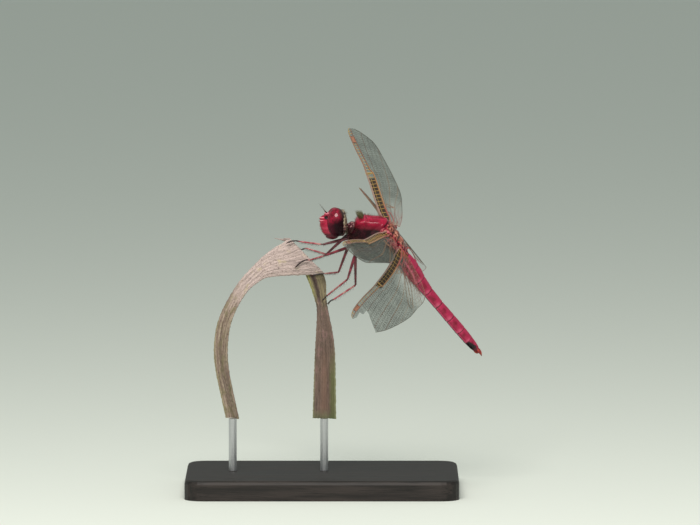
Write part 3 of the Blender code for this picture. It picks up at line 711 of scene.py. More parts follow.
def neck_finish(look):
    """Pale pinkish skin with dark spots, red and brown on the collar behind it, and nearly black low down
    beneath the head as painted shade.
    """
    finish = Finish("neck_cuticle", Roughness=0.55, Specular_IOR_Level=0.2)
    along = finish.place()[1]
    metres = finish.metres()[0]
    spots = finish.noise(metres, 1600.0, 1.0)
    skin = finish.mix((0.34, 0.17, 0.17), (0.05, 0.003, 0.01), spots.ease(0.42, 0.5))
    colour = finish.mix((0.035, 0.008, 0.01), skin, along.ease(0.3, 0.45))
    # Nearly black below a set height in the world: painted shade beneath the head.
    low = finish.metres()[3].ease(0.0431, 0.0426)
    colour = finish.mix(colour, (0.02, 0.004, 0.005), low * 0.9)
    return finish.done(Base_Color=colour, Normal=finish.bump(finish.noise(metres, 4000.0), 0.04))


def hair_finish(look, name, root, tip):
    """Hair that changes from its root colour to its tip colour."""
    finish = Finish(name, Roughness=0.55)
    share = finish.place()[3]
    metres = finish.metres()[0]
    strand = finish.mix(shade(root, 1.0), shade(tip, 1.0), share)
    strand = finish.mix(strand, shade(root, 0.6), finish.noise(metres, 2600.0).ease(0.45, 0.7) * 0.6)
    return finish.done(Base_Color=strand)


def membrane_finish(look):
    """Smoky grey-green wing skin that turns amber at the very root, with a soft wrinkle in every cell."""
    finish = Finish("wing_membrane", Roughness=0.24, IOR=1.4, Specular_IOR_Level=0.22)
    place, out, back, _ = finish.place()
    smoke = finish.noise(place, 0.35, 2.0)
    clear = finish.mix(look.wing_clear, shade(look.wing_clear, 0.6), smoke.ease(0.35, 0.65))
    amber = (out + 0.5 * back + 1.2 * (smoke - 0.5)).ease(2.6, 0.8)
    colour = finish.mix(clear, look.wing_amber, amber)
    strip = back.ease(1.25, 1.0) * out.ease(14.2, 13.2)
    colour = finish.mix(colour, (0.035, 0.017, 0.01), strip * 0.9)
    inner = out.ease(10.0, 6.0) * back.ease(1.6, 3.0)
    alpha = (0.29 + 0.16 * smoke) * (1 - 0.84 * inner) + 0.62 * strip
    wrinkle = finish.bump(finish.noise(place, 2.2, 1.0), 0.05)
    return finish.done(Base_Color=colour, Alpha=alpha, Normal=wrinkle)


def vein_finish(look):
    """Veins by rank: fine brown ones, red stems, amber ladders and a pale leading edge."""
    finish = Finish("wing_veins", Roughness=0.36)
    _, out, _, rank = finish.place()
    metres = finish.metres()[0]
    grain = finish.noise(metres, 1800.0)
    fine = finish.mix((0.1, 0.085, 0.06), (0.05, 0.045, 0.03), grain.ease(0.4, 0.6))
    stem = finish.mix((0.38, 0.12, 0.1), look.vein_red, grain.ease(0.4, 0.65))
    fine = finish.mix(fine, stem, out.ease(6.5, 1.5) * 0.8)
    stem = finish.mix(stem, (0.38, 0.19, 0.085), out.ease(3.0, 7.0))
    stem = finish.mix(stem, (0.22, 0.11, 0.08), out.ease(13.0, 20.0))
    colour = finish.mix(fine, stem, rank.ease(0.3, 0.62))
    colour = finish.mix(colour, look.vein_amber, rank.ease(0.74, 0.82))
    pale = finish.mix((0.4, 0.2, 0.17), look.vein_pale, out.ease(2.0, 6.0))
    pale = finish.mix(pale, (0.28, 0.15, 0.1), out.ease(13.5, 16.5))
    colour = finish.mix(colour, pale, rank.ease(0.92, 1.0) * out.ease(27.5, 24.5))
    return finish.done(Base_Color=colour, Normal=finish.bump(grain, 0.01))


def stigma_finish(look):
    """The coloured cell near each wing's tip: orange brown, darker round its edge."""
    finish = Finish("wing_stigma", Roughness=0.35)
    place = finish.place()[0]
    grain = finish.noise(place, 5.0)
    colour = finish.mix((0.4, 0.18, 0.11), (0.26, 0.1, 0.055), grain.ease(0.35, 0.65))
    return finish.done(Base_Color=colour, Normal=finish.bump(grain, 0.02))


def blade_finish(look):
    """Dry grass: pinkish tan on the fold, brown down the limbs, streaked along its ribs, olive-edged."""
    finish = Finish("dry_blade", Roughness=0.62)
    _, along, across, strip = finish.place()
    fibres = finish.noise(finish.vector(along * 0.22, across * 26.0, strip * 7.0), 1.0, 4.0, 0.6)
    stains = finish.noise(finish.vector(along * 0.5, across * 3.0, strip * 5.0), 1.0, 3.0)
    specks = finish.noise(finish.vector(along * 2.4, across * 9.0, strip * 3.0), 1.0, 5.0, 0.7)
    flecks = finish.noise(finish.vector(along * 3.4, across * 30.0, strip * 3.0), 1.0, 4.0, 0.65)
    pale = finish.mix(look.blade_pale, shade(look.blade_pale, 0.5), fibres.ease(0.42, 0.7))
    pale = finish.mix(pale, (0.15, 0.09, 0.08), flecks.ease(0.5, 0.68) * 0.8)
    pale = finish.mix(pale, (0.56, 0.46, 0.27), stains.ease(0.55, 0.7) * 0.6)
    pale = finish.mix(pale, (0.05, 0.03, 0.025), specks.ease(0.6, 0.72) * 0.85)
    tan = finish.mix((0.36, 0.28, 0.21), look.blade_brown, fibres.ease(0.38, 0.6))
    tan = finish.mix(tan, look.blade_olive, stains.ease(0.45, 0.65) * 0.7)
    tan = finish.mix(tan, shade(look.blade_brown, 0.35), specks.ease(0.56, 0.7))
    groove = (across - 0.12 * (stains - 0.5)).near(0.42, 9) * along.ease(7.0, 14.0)
    tan = finish.mix(tan, (0.05, 0.03, 0.022), groove * 0.55)
    tan = finish.mix(tan, (0.3, 0.27, 0.12), across.ease(0.1, 0.0) * along.ease(9.0, 14.0) * 0.7)
    curl = finish.mix(pale, tan, (along + 5.0 * (stains - 0.5)).ease(2.0, 11.0) * strip.ease(0.4, 0.6))
    brown = finish.mix(look.blade_brown, shade(look.blade_brown, 0.4), fibres.ease(0.42, 0.66))
    brown = finish.mix(brown, (0.23, 0.13, 0.12), stains.ease(0.5, 0.7) * 0.7)
    rust = (across + 0.3 * (stains - 0.5)).near(0.42, 3.5) * along.ease(13.0, 19.0)
    brown = finish.mix(brown, (0.2, 0.11, 0.075), rust * 0.55)
    moss = (across + 0.2 * (stains - 0.5)).ease(0.62, 0.85) * along.ease(14.0, 20.0)
    brown = finish.mix(brown, (0.13, 0.14, 0.05), moss * 0.8)
    brown = finish.mix(brown, look.blade_green, (along + 3.0 * (stains - 0.5)).ease(24.5, 27.5) * 0.9)
    sunny = finish.mix((0.2, 0.16, 0.085), (0.11, 0.085, 0.05), fibres.ease(0.42, 0.6))
    brown = finish.mix(brown, sunny, across.ease(0.5, 0.62) * along.ease(9.5, 6.5))
    slot = across.near(0.4, 6, 0.6) * along.ease(8.5, 6.5)
    brown = finish.mix(brown, (0.03, 0.015, 0.008), slot * 0.9)
    lip = across.ease(0.07, 0.0) + across.ease(0.94, 1.0)
    brown = finish.mix(brown, (0.26, 0.27, 0.14), lip * along.ease(12.0, 22.0) * 0.7)
    young = finish.mix((0.3, 0.29, 0.08), look.blade_olive, fibres.ease(0.45, 0.6))
    brown = finish.mix(brown, young, (across + 0.15 * (stains - 0.5)).ease(0.3, 0.18) * along.ease(8.5, 6.0))
    colour = finish.mix(curl, brown, strip.ease(1.4, 1.6))
    ribs = finish.bump(0.7 * fibres + 0.3 * specks, 0.08)
    return finish.done(Base_Color=colour, Normal=ribs)


def wood_finish(look):
    """Black-stained wood: long grain along the base, lighter along streaks of the grain, with darker pores.
    """
    finish = Finish("base_wood", Specular_IOR_Level=0.35)
    _, x, y, z = finish.metres()
    long_grain = finish.noise(finish.vector(x * 60.0, y * 900.0, z * 900.0), 1.0, 5.0, 0.6)
    pores = finish.noise(finish.vector(x * 260.0, y * 4200.0, z * 4200.0), 1.0, 2.0)
    colour = finish.mix(shade(look.base_stain, 1.0), shade(look.base_stain, 2.6), long_grain.ease(0.42, 0.66))
    colour = finish.mix(colour, shade(look.base_stain, 0.4), pores.ease(0.58, 0.7) * 0.8)
    depth = finish.bump(0.6 * long_grain + 0.4 * pores, 0.08)
    return finish.done(Base_Color=colour, Normal=depth, Roughness=0.42 + 0.25 * long_grain)


def steel_finish(look):
    """Brushed steel: fine rings round the rod."""
    finish = Finish("rod_steel", Metallic=1.0)
    _, x, y, z = finish.metres()
    rings = finish.noise(finish.vector(x * 300.0, y * 300.0, z * 26000.0), 1.0, 2.0)
    colour = finish.mix((0.52, 0.52, 0.53), (0.68, 0.68, 0.7), rings)
    return finish.done(Base_Color=colour, Normal=finish.bump(rings, 0.008), Roughness=0.24 + 0.2 * rings)


# Shapes


def read(table, where, column):
    """A column of a table at `where` along its first column, with straight lines between rows."""
    rows = np.array(sorted(table), dtype=float)
    return np.interp(where, rows[:, 0], rows[:, column])


def eye(side):
    """An oval ball whose inner side is flattened where the two eyes meet: y = max(y, 0.03) on the left."""
    form = Form()

    def meet(own):
        own[..., 1] = side * np.maximum(side * own[..., 1], 0.03)
        return own

    form.ball(HEAD, (EYE_CENTRE[0], side * EYE_CENTRE[1], EYE_CENTRE[2]), EYE_RADII, 62, 96, meet)
    return form


def head_capsule():
    """The back of the head: an oval whose rim stands up in a low scalloped ridge round the eyes."""
    form = Form()

    def rim(own):
        away = own - np.asarray(CAPSULE_CENTRE)
        round_rim = np.arctan2(away[..., 2], away[..., 1])
        ridge = hill(away[..., 0], -0.5, 0.24) * (0.06 + 0.03 * np.cos(22 * round_rim))
        hollow = 0.1 * hill(away[..., 1], 0.0, 0.7) * ease(-away[..., 0], 0.3, 0.9)
        return own + away * (ridge - hollow)[..., None]

    form.ball(HEAD, CAPSULE_CENTRE, CAPSULE_RADII, 60, 96, rim)
    return form


def face():
    """Half ovals stacked from brow to chin: x = back + deep cos a, y = wide sin a.

    Bells across the height cut the grooves between forehead, upper and lower shield and lip, and raise two
    rolls on the forehead; a bell across the middle parts it. Quarter circles round off the brow and the chin.
    """
    form = Form()
    table = smooth_through(FACE, 68)
    brow, chin = np.linspace(80.0, 8.0, 7), np.linspace(8.0, 80.0, 7)
    shrink = np.concatenate((np.cos(np.radians(brow)), np.ones(len(table)), np.cos(np.radians(chin))))
    brow_height = table[0, 0] + 0.16 * np.sin(np.radians(brow))
    chin_height = table[-1, 0] - 0.14 * np.sin(np.radians(chin))
    height = np.concatenate((brow_height, table[:, 0], chin_height))
    front = np.concatenate((np.full(7, table[0, 1]), table[:, 1], np.full(7, table[-1, 1])))
    wide = np.concatenate((np.full(7, table[0, 2]), table[:, 2], np.full(7, table[-1, 2])))
    wide *= 0.35 + 0.65 * shrink
    deep = (front - FACE_BACK) * (0.55 + 0.45 * shrink)
    turn = np.radians(np.linspace(-90.0, 90.0, 61))[None, :]
    z = height[:, None] + 0 * turn
    y = wide[:, None] * np.sin(turn)
    grooves = 0.06 * hill(z, 0.18, 0.07) + 0.05 * hill(z, -0.6, 0.07) + 0.07 * hill(z, -1.05, 0.07)
    grooves += 0.1 * hill(y, 0.0, 0.12) * ease(z, 0.25, 0.7)
    swells = 0.1 * hill(z, 0.94, 0.15) + 0.08 * hill(z, 0.49, 0.13)
    swells += 0.03 * hill(z, -0.3, 0.25) + 0.03 * hill(z, -1.4, 0.25)
    x = FACE_BACK + (deep[:, None] + (swells - grooves)) * np.cos(turn)
    back_y = np.linspace(1.0, -1.0, 9)[None, 1:-1] * wide[:, None]
    back = np.stack(np.broadcast_arrays(FACE_BACK + 0 * back_y, back_y, height[:, None]), axis=-1)
    rings = np.concatenate((np.stack((x, y, z), axis=-1), back), axis=1)
    form.skin(carried(rings, HEAD), rings)
    return form


def mouthparts():
    """The lip's lobes: an oval with a slit down its middle and a fold across it."""
    form = Form()

    def lobes(own):
        away = own - np.asarray(MOUTH_CENTRE)
        slit = 0.12 * hill(away[..., 1], 0.0, 0.09) + 0.08 * hill(away[..., 2], -0.12, 0.08)
        return own - unit(away) * slit[..., None]

    form.ball(HEAD, MOUTH_CENTRE, MOUTH_RADII, 36, 60, lobes)
    return form


def forehead():
    """The bump between the feelers, notched in the middle, with three small round eyes at its foot."""
    form = Form()

    def notch(own):
        away = own - np.asarray(VERTEX_CENTRE)
        dip = 0.16 * hill(away[..., 1], 0.0, 0.16) * ease(away[..., 2], 0.0, 0.35)
        return own - np.stack((0 * dip, 0 * dip, dip), axis=-1)

    form.ball(HEAD, VERTEX_CENTRE, VERTEX_RADII, 30, 48, notch)
    return form


def small_eyes():
    """Three glassy beads: one in front of the bump and one at each side of it."""
    form = Form()
    x, y, z = VERTEX_CENTRE
    for centre in ((x + 0.36, y, z - 0.12), (x + 0.12, y + 0.5, z + 0.1), (x + 0.12, y - 0.5, z + 0.1)):
        form.ball(HEAD, centre, (0.13, 0.13, 0.13), 12, 18)
    return form


def feeler(side):
    """Two short stout joints and a bristle that thins to a point."""
    form = Form()
    path = np.asarray(ANTENNA) * (1.0, side, 1.0)
    start, ahead = path[0] - (0.1, 0.0, 0.25), unit(path[1] - path[0])
    form.tube([start, start + ahead * 0.28], [0.12, 0.1], 12, 16, frame_matrix=HEAD)
    form.tube([start + ahead * 0.25, start + ahead * 0.46], [0.085, 0.07], 12, 14, frame_matrix=HEAD)
    form.tube([start + ahead * 0.42, *path[1:]], [0.035, 0.022, 0.01], 8, 40, frame_matrix=HEAD)
    return form


def neck():
    """A ringed tube from the collar to the back of the head, with a raised lobe on the collar."""
    form = Form()
    collar, nape = carried(COLLAR_IN_BODY, BODY), carried(NECK_IN_HEAD, HEAD)
    share = np.linspace(-0.12, 1.0, 16)
    path = collar + (nape - collar) * share[:, None]
    radii = np.interp(share, (-0.12, 0.3, 0.48, 0.62, 0.8, 1.0), (1.05, 1.28, 1.0, 0.66, 0.6, 0.72))
    radii = radii + 0.05 * np.cos(share * 46.0)
    form.tube(path, radii, 48, 90, blunt=False)
    return form


def thorax_point(along, turn):
    """A point of the thorax in the body frame: an oval at `along`, its radius changed by ridges and grooves.

    A ridge runs down the middle of the back in front of the wings and another crosses it there; between the
    wings lie two low plates; two grooves run down each side from the wing roots towards the legs. Two low
    rolls run along each shoulder, and outside the outer one the side falls away steeply.
    """
    top, belly, half_width = (smooth_read(THORAX, along, column) for column in (1, 2, 3))
    x = along + 0 * turn
    y = half_width * np.cos(turn)
    z = (top + belly) / 2 + (top - belly) / 2 * np.sin(turn)
    above, aside = ease(np.sin(turn), 0.3, 0.8), ease(np.abs(np.cos(turn)), 0.35, 0.75)
    away_from_keel, front = np.abs(y), ease(x, 6.7, 7.4) * ease(np.sin(turn), 0.0, 0.4)
    relief = 0.14 * hill(y, 0.0, 0.13) * ease(x, 6.9, 7.3) * above
    relief += front * (0.09 * hill(away_from_keel, 1.36, 0.2) + 0.1 * hill(away_from_keel, 0.55, 0.16))
    relief -= 0.38 * ease(away_from_keel, 1.42, 2.3) * ease(z, -4.6, -2.4) * ease(x, 6.6, 7.4)
    relief += 0.1 * hill(x, 6.95, 0.16) * above
    relief += above * (0.12 * hill(x, 5.5, 0.55) + 0.1 * hill(x, 4.0, 0.3) - 0.1 * hill(x, 4.55, 0.16))
    relief += above * (0.1 * hill(x, 2.5, 0.45) - 0.1 * hill(x, 3.35, 0.16) - 0.08 * hill(x, 1.6, 0.2))
    relief -= 0.07 * hill(np.abs(y), 0.62, 0.1) * ease(x, 6.6, 6.2) * above
    for foot, head in (((7.9, -5.0), (5.2, 1.2)), ((6.1, -5.6), (2.7, 1.0))):
        lean, rise = head[0] - foot[0], head[1] - foot[1]
        away = ((x - foot[0]) * rise - (z - foot[1]) * lean) / math.hypot(lean, rise)
        relief += aside * (0.05 * hill(away, 0.22, 0.16) - 0.12 * hill(away, 0.0, 0.09))
    out = np.stack((0 * y, y / half_width, (z - (top + belly) / 2) / ((top - belly) / 2)), axis=-1)
    return np.stack((x, y, z), axis=-1) + out * relief[..., None]


def smooth_read(table, where, column):
    """A column of a table read along the smooth curve through its rows."""
    rows = smooth_through(sorted(table), 200)
    return np.interp(where, rows[:, 0], rows[:, column])


def thorax():
    """The thorax's ovals from its hind end to its front, closed in at both ends."""
    form = Form()
    along = np.linspace(THORAX[-1][0], THORAX[0][0], 130)[:, None]
    turn = np.linspace(0.0, math.tau, 132, endpoint=False)[None, :]
    own = thorax_point(along, turn)
    form.skin(carried(own, BODY), own)
    return form


def abdomen():
    """Ten rings as one skin: an oval with a ridge down the back and one down each side, flatter below.

    Along each ring the radius swells a little, flares at the hind edge and steps in under it at the joint.
    """
    form = Form()
    starts, ends = np.concatenate(((0.0,), SEGMENT_ENDS[:-1])), np.asarray(SEGMENT_ENDS)
    shares = (1 - np.cos(np.linspace(0.0, math.pi, 44, endpoint=False))) / 2
    behind = (starts[:, None] + (ends - starts)[:, None] * shares).ravel()[:, None] + 0.02
    phase = np.tile(shares, len(ends))[:, None]
    number = np.repeat(np.arange(len(ends)), len(shares))[:, None]
    turn = np.linspace(0.0, math.tau, 88, endpoint=False)[None, :]
    wide, high, drop = (read(ABDOMEN, behind, column) for column in (1, 2, 3))
    swell = 0.02 * np.sin(math.pi * phase) + 0.03 * ease(phase, 0.72, 0.93) - 0.085 * ease(phase, 0.955, 0.99)
    swell -= 0.055 * ease(phase, 0.1, 0.0)
    swell += 0.035 * hill(phase, 0.42, 0.03) * ((number == 1) | (number == 2))
    degrees = np.degrees(turn)
    ridges = 0.055 * hill(degrees, 90.0, 6.0) + 0.06 * (hill(degrees, 322.0, 8.0) + hill(degrees, 218.0, 8.0))
    flat = -0.09 * hill(degrees, 270.0, 32.0)
    dents = 0.012 * waver(behind * 2.3, np.cos(turn) * 2.0) * np.sin(math.pi * phase)
    size = 1 + swell + (ridges + flat) * (0.4 + 0.6 * np.sin(math.pi * phase) ** 0.5) + dents
    y, z = wide * np.cos(turn) * size, -drop + high * np.sin(turn) * size
    own = np.stack(np.broadcast_arrays(-behind, y, z), axis=-1)
    places = np.stack(np.broadcast_arrays(number + phase, np.cos(turn) * 0.99, np.sin(turn)), axis=-1)
    form.skin(carried(own, BODY), places)
    return form


def claspers():
    """The two hooks at the tail, thickest before the middle and drawn to a point, and the plate below."""
    form = Form()
    start = SEGMENT_ENDS[-1]
    for side in (1, -1):
        aside = side * CERCUS_SPREAD
        path = [
            (-start + 0.25, aside * 0.8, 0.1),
            (-start - 0.4, aside * 1.15, 0.18),
            (-start - 0.95, aside * 0.95, 0.2),
            (-start - CERCUS_LENGTH - 0.2, aside * 0.55, 0.05),
        ]
        form.tube(path, [0.17, 0.24, 0.17, 0.05], 20, 40, frame_matrix=BODY)
    path = [(-start + 0.25, 0.0, -0.3), (-start - 0.3, 0.0, -0.32), (-start - 0.78, 0.0, -0.2)]
    form.tube(path, [0.2, 0.22, 0.12], 20, 30, frame_matrix=BODY)
    return form


def hip_of(leg):
    """The leg's hip in the world."""
    pair, side = leg.split("_")
    return carried(np.asarray(HIPS[pair]) * (1.0, 1.0 if side == "left" else -1.0, 1.0), BODY)


def leg_parts(leg):
    """A hip joint, a thigh that swells after its start, a thin shin and three short foot joints.

    The place's first number counts the parts: up to 1 down the thigh, to 2 down the shin, to 3 on the foot.
    """
    form = Form()
    hip, (knee, ankle, *foot) = hip_of(leg), np.asarray(LEGS[leg])
    pair, side = leg.split("_")
    inward = carried(np.asarray(HIPS[pair]) * (1.0, 0.55 if side == "left" else -0.55, 0.9), BODY)
    form.tube([inward, hip + unit(hip - inward) * 0.12], [0.52, 0.38], 20, 30, place=(0.0, 0.0, 0.0))
    spans = (
        (0.0, [hip, hip + (knee - hip) * 0.25, hip + (knee - hip) * 0.7, knee], [0.22, 0.25, 0.2, 0.15]),
        (1.0, [knee, knee + (ankle - knee) * 0.5, ankle], [0.16, 0.14, 0.12]),
    )
    for count, path, radii in spans:
        form.tube(path, radii, 16, 60, place=counted(count, 1.0, 60))
    stops = smooth_through((ankle, *foot), 4)
    for number, (start, end) in enumerate(zip(stops, stops[1:])):
        reach = start + (end - start) * 1.04
        place = counted(2 + number / 3, 1 / 3, 20)
        form.tube([start, (start + reach) / 2, reach], [0.11, 0.13, 0.12], 12, 20, place=place)
    return form


def counted(start, length, steps):
    """Places along a tube whose first number runs from `start` over `length`."""
    share = (1 - np.cos(np.linspace(0.0, math.pi, steps))) / 2
    return np.stack((start + length * share, 0 * share, 0 * share), axis=-1)[:, None]


def claws():
    """Two curved hooks at the end of every foot."""
    form = Form()
    for points in LEGS.values():
        last, tip = np.asarray(points[-2]), np.asarray(points[-1])
        ahead = unit(tip - last)
        aside = unit(np.cross(ahead, (0.1, 0.3, 1.0)))
        for side in (1, -1):
            out = aside * side * 0.09
            hook = tip + ahead * 0.3 + out * 2.2 - (0.0, 0.0, 0.12)
            path = [tip - ahead * 0.1 + out, tip + ahead * 0.12 + out * 2.0, hook]
            form.tube(path, [0.06, 0.045, 0.012], 8, 16)
    return form


def bristles(length, seed):
    """Two rows of stiff bristles down each thigh and shin, standing off the leg and leaning to the foot."""
    form = Form()
    random = np.random.default_rng(seed)
    for number, (leg, (knee, ankle, *_)) in enumerate(LEGS.items()):
        hip, knee, ankle = hip_of(leg), np.asarray(knee), np.asarray(ankle)
        for start, end, radius, count, reach in ((hip, knee, 0.25, 12, 0.6), (knee, ankle, 0.15, 13, 1.0)):
            ahead = unit(end - start)
            below = unit(np.cross(np.cross(ahead, (0.0, 0.0, -1.0)), ahead))
            aside = np.cross(ahead, below)
            share = np.tile(np.linspace(0.12, 0.95, count), 2) + random.uniform(-0.015, 0.015, 2 * count)
            swing = np.repeat((0.75, -0.75), count) + random.uniform(-0.15, 0.15, 2 * count)
            off = below * np.cos(swing)[:, None] + aside * np.sin(swing)[:, None]
            roots = start + (end - start) * share[:, None] + off * radius * 0.85
            long = length * reach * random.uniform(0.75, 1.1, 2 * count)
            chart = np.column_stack((share * 0.9 + 0.05, (number + np.repeat((0.2, 0.6), count)) / 6.5))
            places = np.column_stack((share, swing, 0 * share))
            form.needles(roots, off + ahead * 0.8, long, 0.05, places, chart)
    return form


def wing_frame(wing):
    """The wing's root and its outward, backward and upward directions, in the world."""
    pair, side = wing.split("_")
    sweep, droop, twist = (math.radians(angle) for angle in WING_TURNS[wing])
    flat = math.cos(droop)
    outward = np.array((math.sin(sweep) * flat, math.cos(sweep) * flat, -math.sin(droop)))
    level = np.array((-math.cos(sweep), math.sin(sweep), 0.0))
    backward = level * math.cos(twist) - unit(np.cross(level, outward)) * math.sin(twist)
    upward = np.cross(outward, backward)
    mirror = np.array((1.0, 1.0 if side == "left" else -1.0, 1.0))
    root = carried(np.asarray(WING_ROOTS[pair]) * mirror, BODY)
    return (root, *(mirror * vector @ BODY[:3, :3].T for vector in (outward, backward, upward)))


class Wing:
    """One wing: its frame, its outline as edges over the way out, and its lengthwise veins."""

    def __init__(self, name):
        self.fore, self.torn = name.startswith("fore"), name == "hind_left"
        self.root, self.outward, self.backward, self.upward = wing_frame(name)
        leading, trailing = (FORE_LEADING, FORE_TRAILING) if self.fore else (HIND_LEADING, HIND_TRAILING)
        leading = TORN_LEADING if self.torn else leading
        self.leading, self.trailing = smooth_through(leading, 160), smooth_through(trailing, 200)[::-1]
        self.length = leading[-1][0]
        self.node_out = self.length * (0.53 if self.fore else 0.476)
        self.arch_out = 3.6 if self.fore else 3.3
        self.curl = 1.2 if name == "hind_right" else 0.0

    def lead(self, out):
        """How far back the leading edge is at that way out."""
        return np.interp(out, np.maximum.accumulate(self.leading[:, 0]), self.leading[:, 1])

    def trail(self, out):
        """How far back the trailing edge is at that way out."""
        return np.interp(out, np.maximum.accumulate(self.trailing[:, 0]), self.trailing[:, 1])

    def vein_gap(self, out):
        """How far the main vein runs behind the leading edge: wide before the notch, narrow beyond it."""
        before = np.interp(out, (0.0, 2.0, self.node_out), (0.6, 1.15, 1.08)) * (1.05 if self.fore else 1.0)
        step = 0.4 * ease(out, self.node_out - 0.2, self.node_out + 1.1)
        return before - step - 0.3 * ease(out, self.length - 3.5, self.length)

    def lost(self, out, back):
        """Whether a spot is in the part that the torn wing has lost."""
        if not self.torn:
            return np.zeros(np.broadcast(out, back).shape, dtype=bool)
        strip, lobe = np.asarray(TORN_STRIP), np.asarray(TORN_LOBE)
        outer = np.interp(out, strip[:, 0], strip[:, 1])
        inner = np.where(out > lobe[-1, 0], 99.0, np.interp(out, lobe[:, 0], lobe[:, 1]))
        return (out > TEAR_FROM) & (back > outer) & (back < inner)

    def at(self, out, back):
        """A point of the wing in the world.

        The skin is pleated: it stands up along the leading edge and the main vein and dips between them, by
        0.11 cos(2 pi d / gap) at distance d, fading over 1.5 mm, on a broad arch of 0.16 sin(pi d / 7).
        Between root and notch the leading edge hangs 0.42 below the main vein. The lobe by the body curls
        down by `curl`.
        """
        away = np.maximum(back - self.lead(out), 0.0)
        fade = np.exp(-away / 1.5) * ease(self.length - out, 0.0, 6.0)
        lift = 0.11 * np.cos(math.tau * away / np.maximum(self.vein_gap(out), 0.2)) * fade
        hang = 0.42 * ease(out, 0.0, 2.5) * (1 - 0.7 * ease(out, self.node_out - 1.0, self.node_out + 3.0))
        lift = lift - hang * np.maximum(1 - away / np.maximum(self.vein_gap(out), 0.2), 0.0)
        lift = lift - self.curl * ease(back, 3.0, 8.0) * ease(out, 4.6, 1.6)
        lift = lift + 0.16 * np.sin(math.pi * np.minimum(away, 7.0) / 7.0) * ease(self.length - out, 0.0, 8.0)
        flat = self.outward * np.asarray(out)[..., None] + self.backward * np.asarray(back)[..., None]
        return self.root + flat + self.upward * lift[..., None]

    def fields(self):
        """The stretches of skin, each as ways out and its two edges: one, or three on the torn wing."""
        whole = self.length * np.sin(np.linspace(0.0, math.pi / 2, 120))[:-1]
        if not self.torn:
            return [(whole, self.lead, self.trail)]
        strip, lobe = np.asarray(TORN_STRIP), np.asarray(TORN_LOBE)
        return [
            (np.linspace(0.0, TEAR_FROM, 110), self.lead, self.trail),
            (np.linspace(TEAR_FROM, self.length - 0.06, 60), self.lead, lambda out: np.interp(out, *strip.T)),
            (np.linspace(TEAR_FROM, lobe[-1, 0] - 0.02, 30), lambda out: np.interp(out, *lobe.T), self.trail),
        ]

    def skin(self, thickness):
        """The clear skin: straight lines from one edge to the other, on the pleated surface."""
        form = Form()
        across = np.linspace(0.0, 1.0, 34)[None, :]
        for out, near, far in self.fields():
            out = out[:, None]
            back = near(out) + (far(out) - near(out)) * across
            out = out + 0 * across
            places = np.stack((out, back - self.lead(out), 0 * out), axis=-1)
            form.plate(self.at(out, back), np.full(out.shape, thickness), places)
        return form

    def ribs(self, form, ends, widths, rank, rise=0.6):
        """Straight veins as small closed bars. `ends` holds each bar's (out, back) at both ends.

        A bar stands up on each side of the skin by `rise` times its width. Fine bars thin out near the body.
        """
        ends = np.asarray(ends, dtype=float).reshape(-1, 2, 2)
        kept = ~(self.lost(ends[..., 0], ends[..., 1]).any(axis=1))
        widths = np.broadcast_to(widths, len(ends))[kept]
        ends = ends[kept]
        if rank == RANK["fine"]:
            out, back = ends.mean(axis=1).T
            widths = widths * (1 - 0.5 * ease(out, 9.5, 5.5) * ease(back, 1.4, 2.8))
        if not len(ends):
            return
        first, last = self.at(ends[:, 0, 0], ends[:, 0, 1]), self.at(ends[:, 1, 0], ends[:, 1, 1])
        ahead = unit(last - first)
        side = unit(np.cross(self.upward, ahead)) * widths[:, None] / 2
        up = self.upward * widths[:, None] * rise
        first, last = first - ahead * widths[:, None] * 0.3, last + ahead * widths[:, None] * 0.3
        signs = ((1, 1), (-1, 1), (-1, -1), (1, -1))
        corners = [end + s * side + u * up for end in (first, last) for s, u in signs]
        points = np.stack(corners, axis=1)
        box = np.array([[0, 3, 2, 1], [4, 5, 6, 7], [0, 1, 5, 4], [1, 2, 6, 5], [2, 3, 7, 6], [3, 0, 4, 7]])
        faces = (8 * np.arange(len(ends)))[:, None, None] + box
        spots = np.repeat(ends, 4, axis=1)
        places = np.concatenate((spots, np.full((*spots.shape[:2], 1), rank)), axis=-1)
        form.add(points.reshape(-1, 3), places.reshape(-1, 3), [faces.reshape(-1, 4)])

    def run(self, form, path, widths, rank):
        """A long vein along a path of (out, back) points, as bars end to end."""
        path = np.asarray(path, dtype=float)
        widths = np.broadcast_to(widths, len(path))
        self.ribs(form, np.stack((path[:-1], path[1:]), axis=1), (widths[:-1] + widths[1:]) / 2, rank)

    def row(self, number, out):
        """How far back the numbered lengthwise vein is: rows fan out from the arch and curve backwards."""
        fan = 0.35 + 0.65 * ease(out, self.arch_out - 2.0, self.node_out * 0.9)
        bend = 0.0042 * number**0.5 * np.maximum(out - self.arch_out, 0.0) ** 2
        even = np.interp(out, (0.0, 2.0, self.node_out + 5.0, self.length), (0.7, 1.3, 0.9, 0.5))
        share = min(number / 4, 1.0)
        first = self.vein_gap(out) * (1 - share) + even * share
        return self.lead(out) + first + (0.52 * number) * fan + bend * 0.6

    def veins(self, width):
        """The net of veins.

        Long veins follow the leading edge, and ladders of short ones cross the strips between them. Behind
        them lie rows of six-sided cells: each row vein zigzags, and short veins join it to its neighbours.
        """
        form = Form()
        length, node = self.length, self.node_out
        out = np.linspace(0.0, length - 0.02, 260)
        taper = np.interp(out, (0.0, node, length * 0.9, length), (6.2, 5.0, 3.2, 1.6)) * width
        self.run(form, np.column_stack((out, self.lead(out) + 0.08)), taper, RANK["front"])
        main = np.linspace(0.0, length - 0.5, 240)
        gap = self.vein_gap(main)
        stout = np.interp(main, (0.0, node, length), (6.5, 4.6, 2.4)) * width
        self.run(form, np.column_stack((main, self.lead(main) + gap)), stout, RANK["stem"])
        second = np.linspace(0.0, node, 130)
        half = self.vein_gap(second) * 0.5 * (1 - ease(second, node - 0.8, node))
        self.run(form, np.column_stack((second, self.lead(second) + half)), 2.0 * width, RANK["second"])
        self.edge(form, width)
        self.ladders(form, width)
        self.roots(form, width)
        self.net(form, width)
        return form

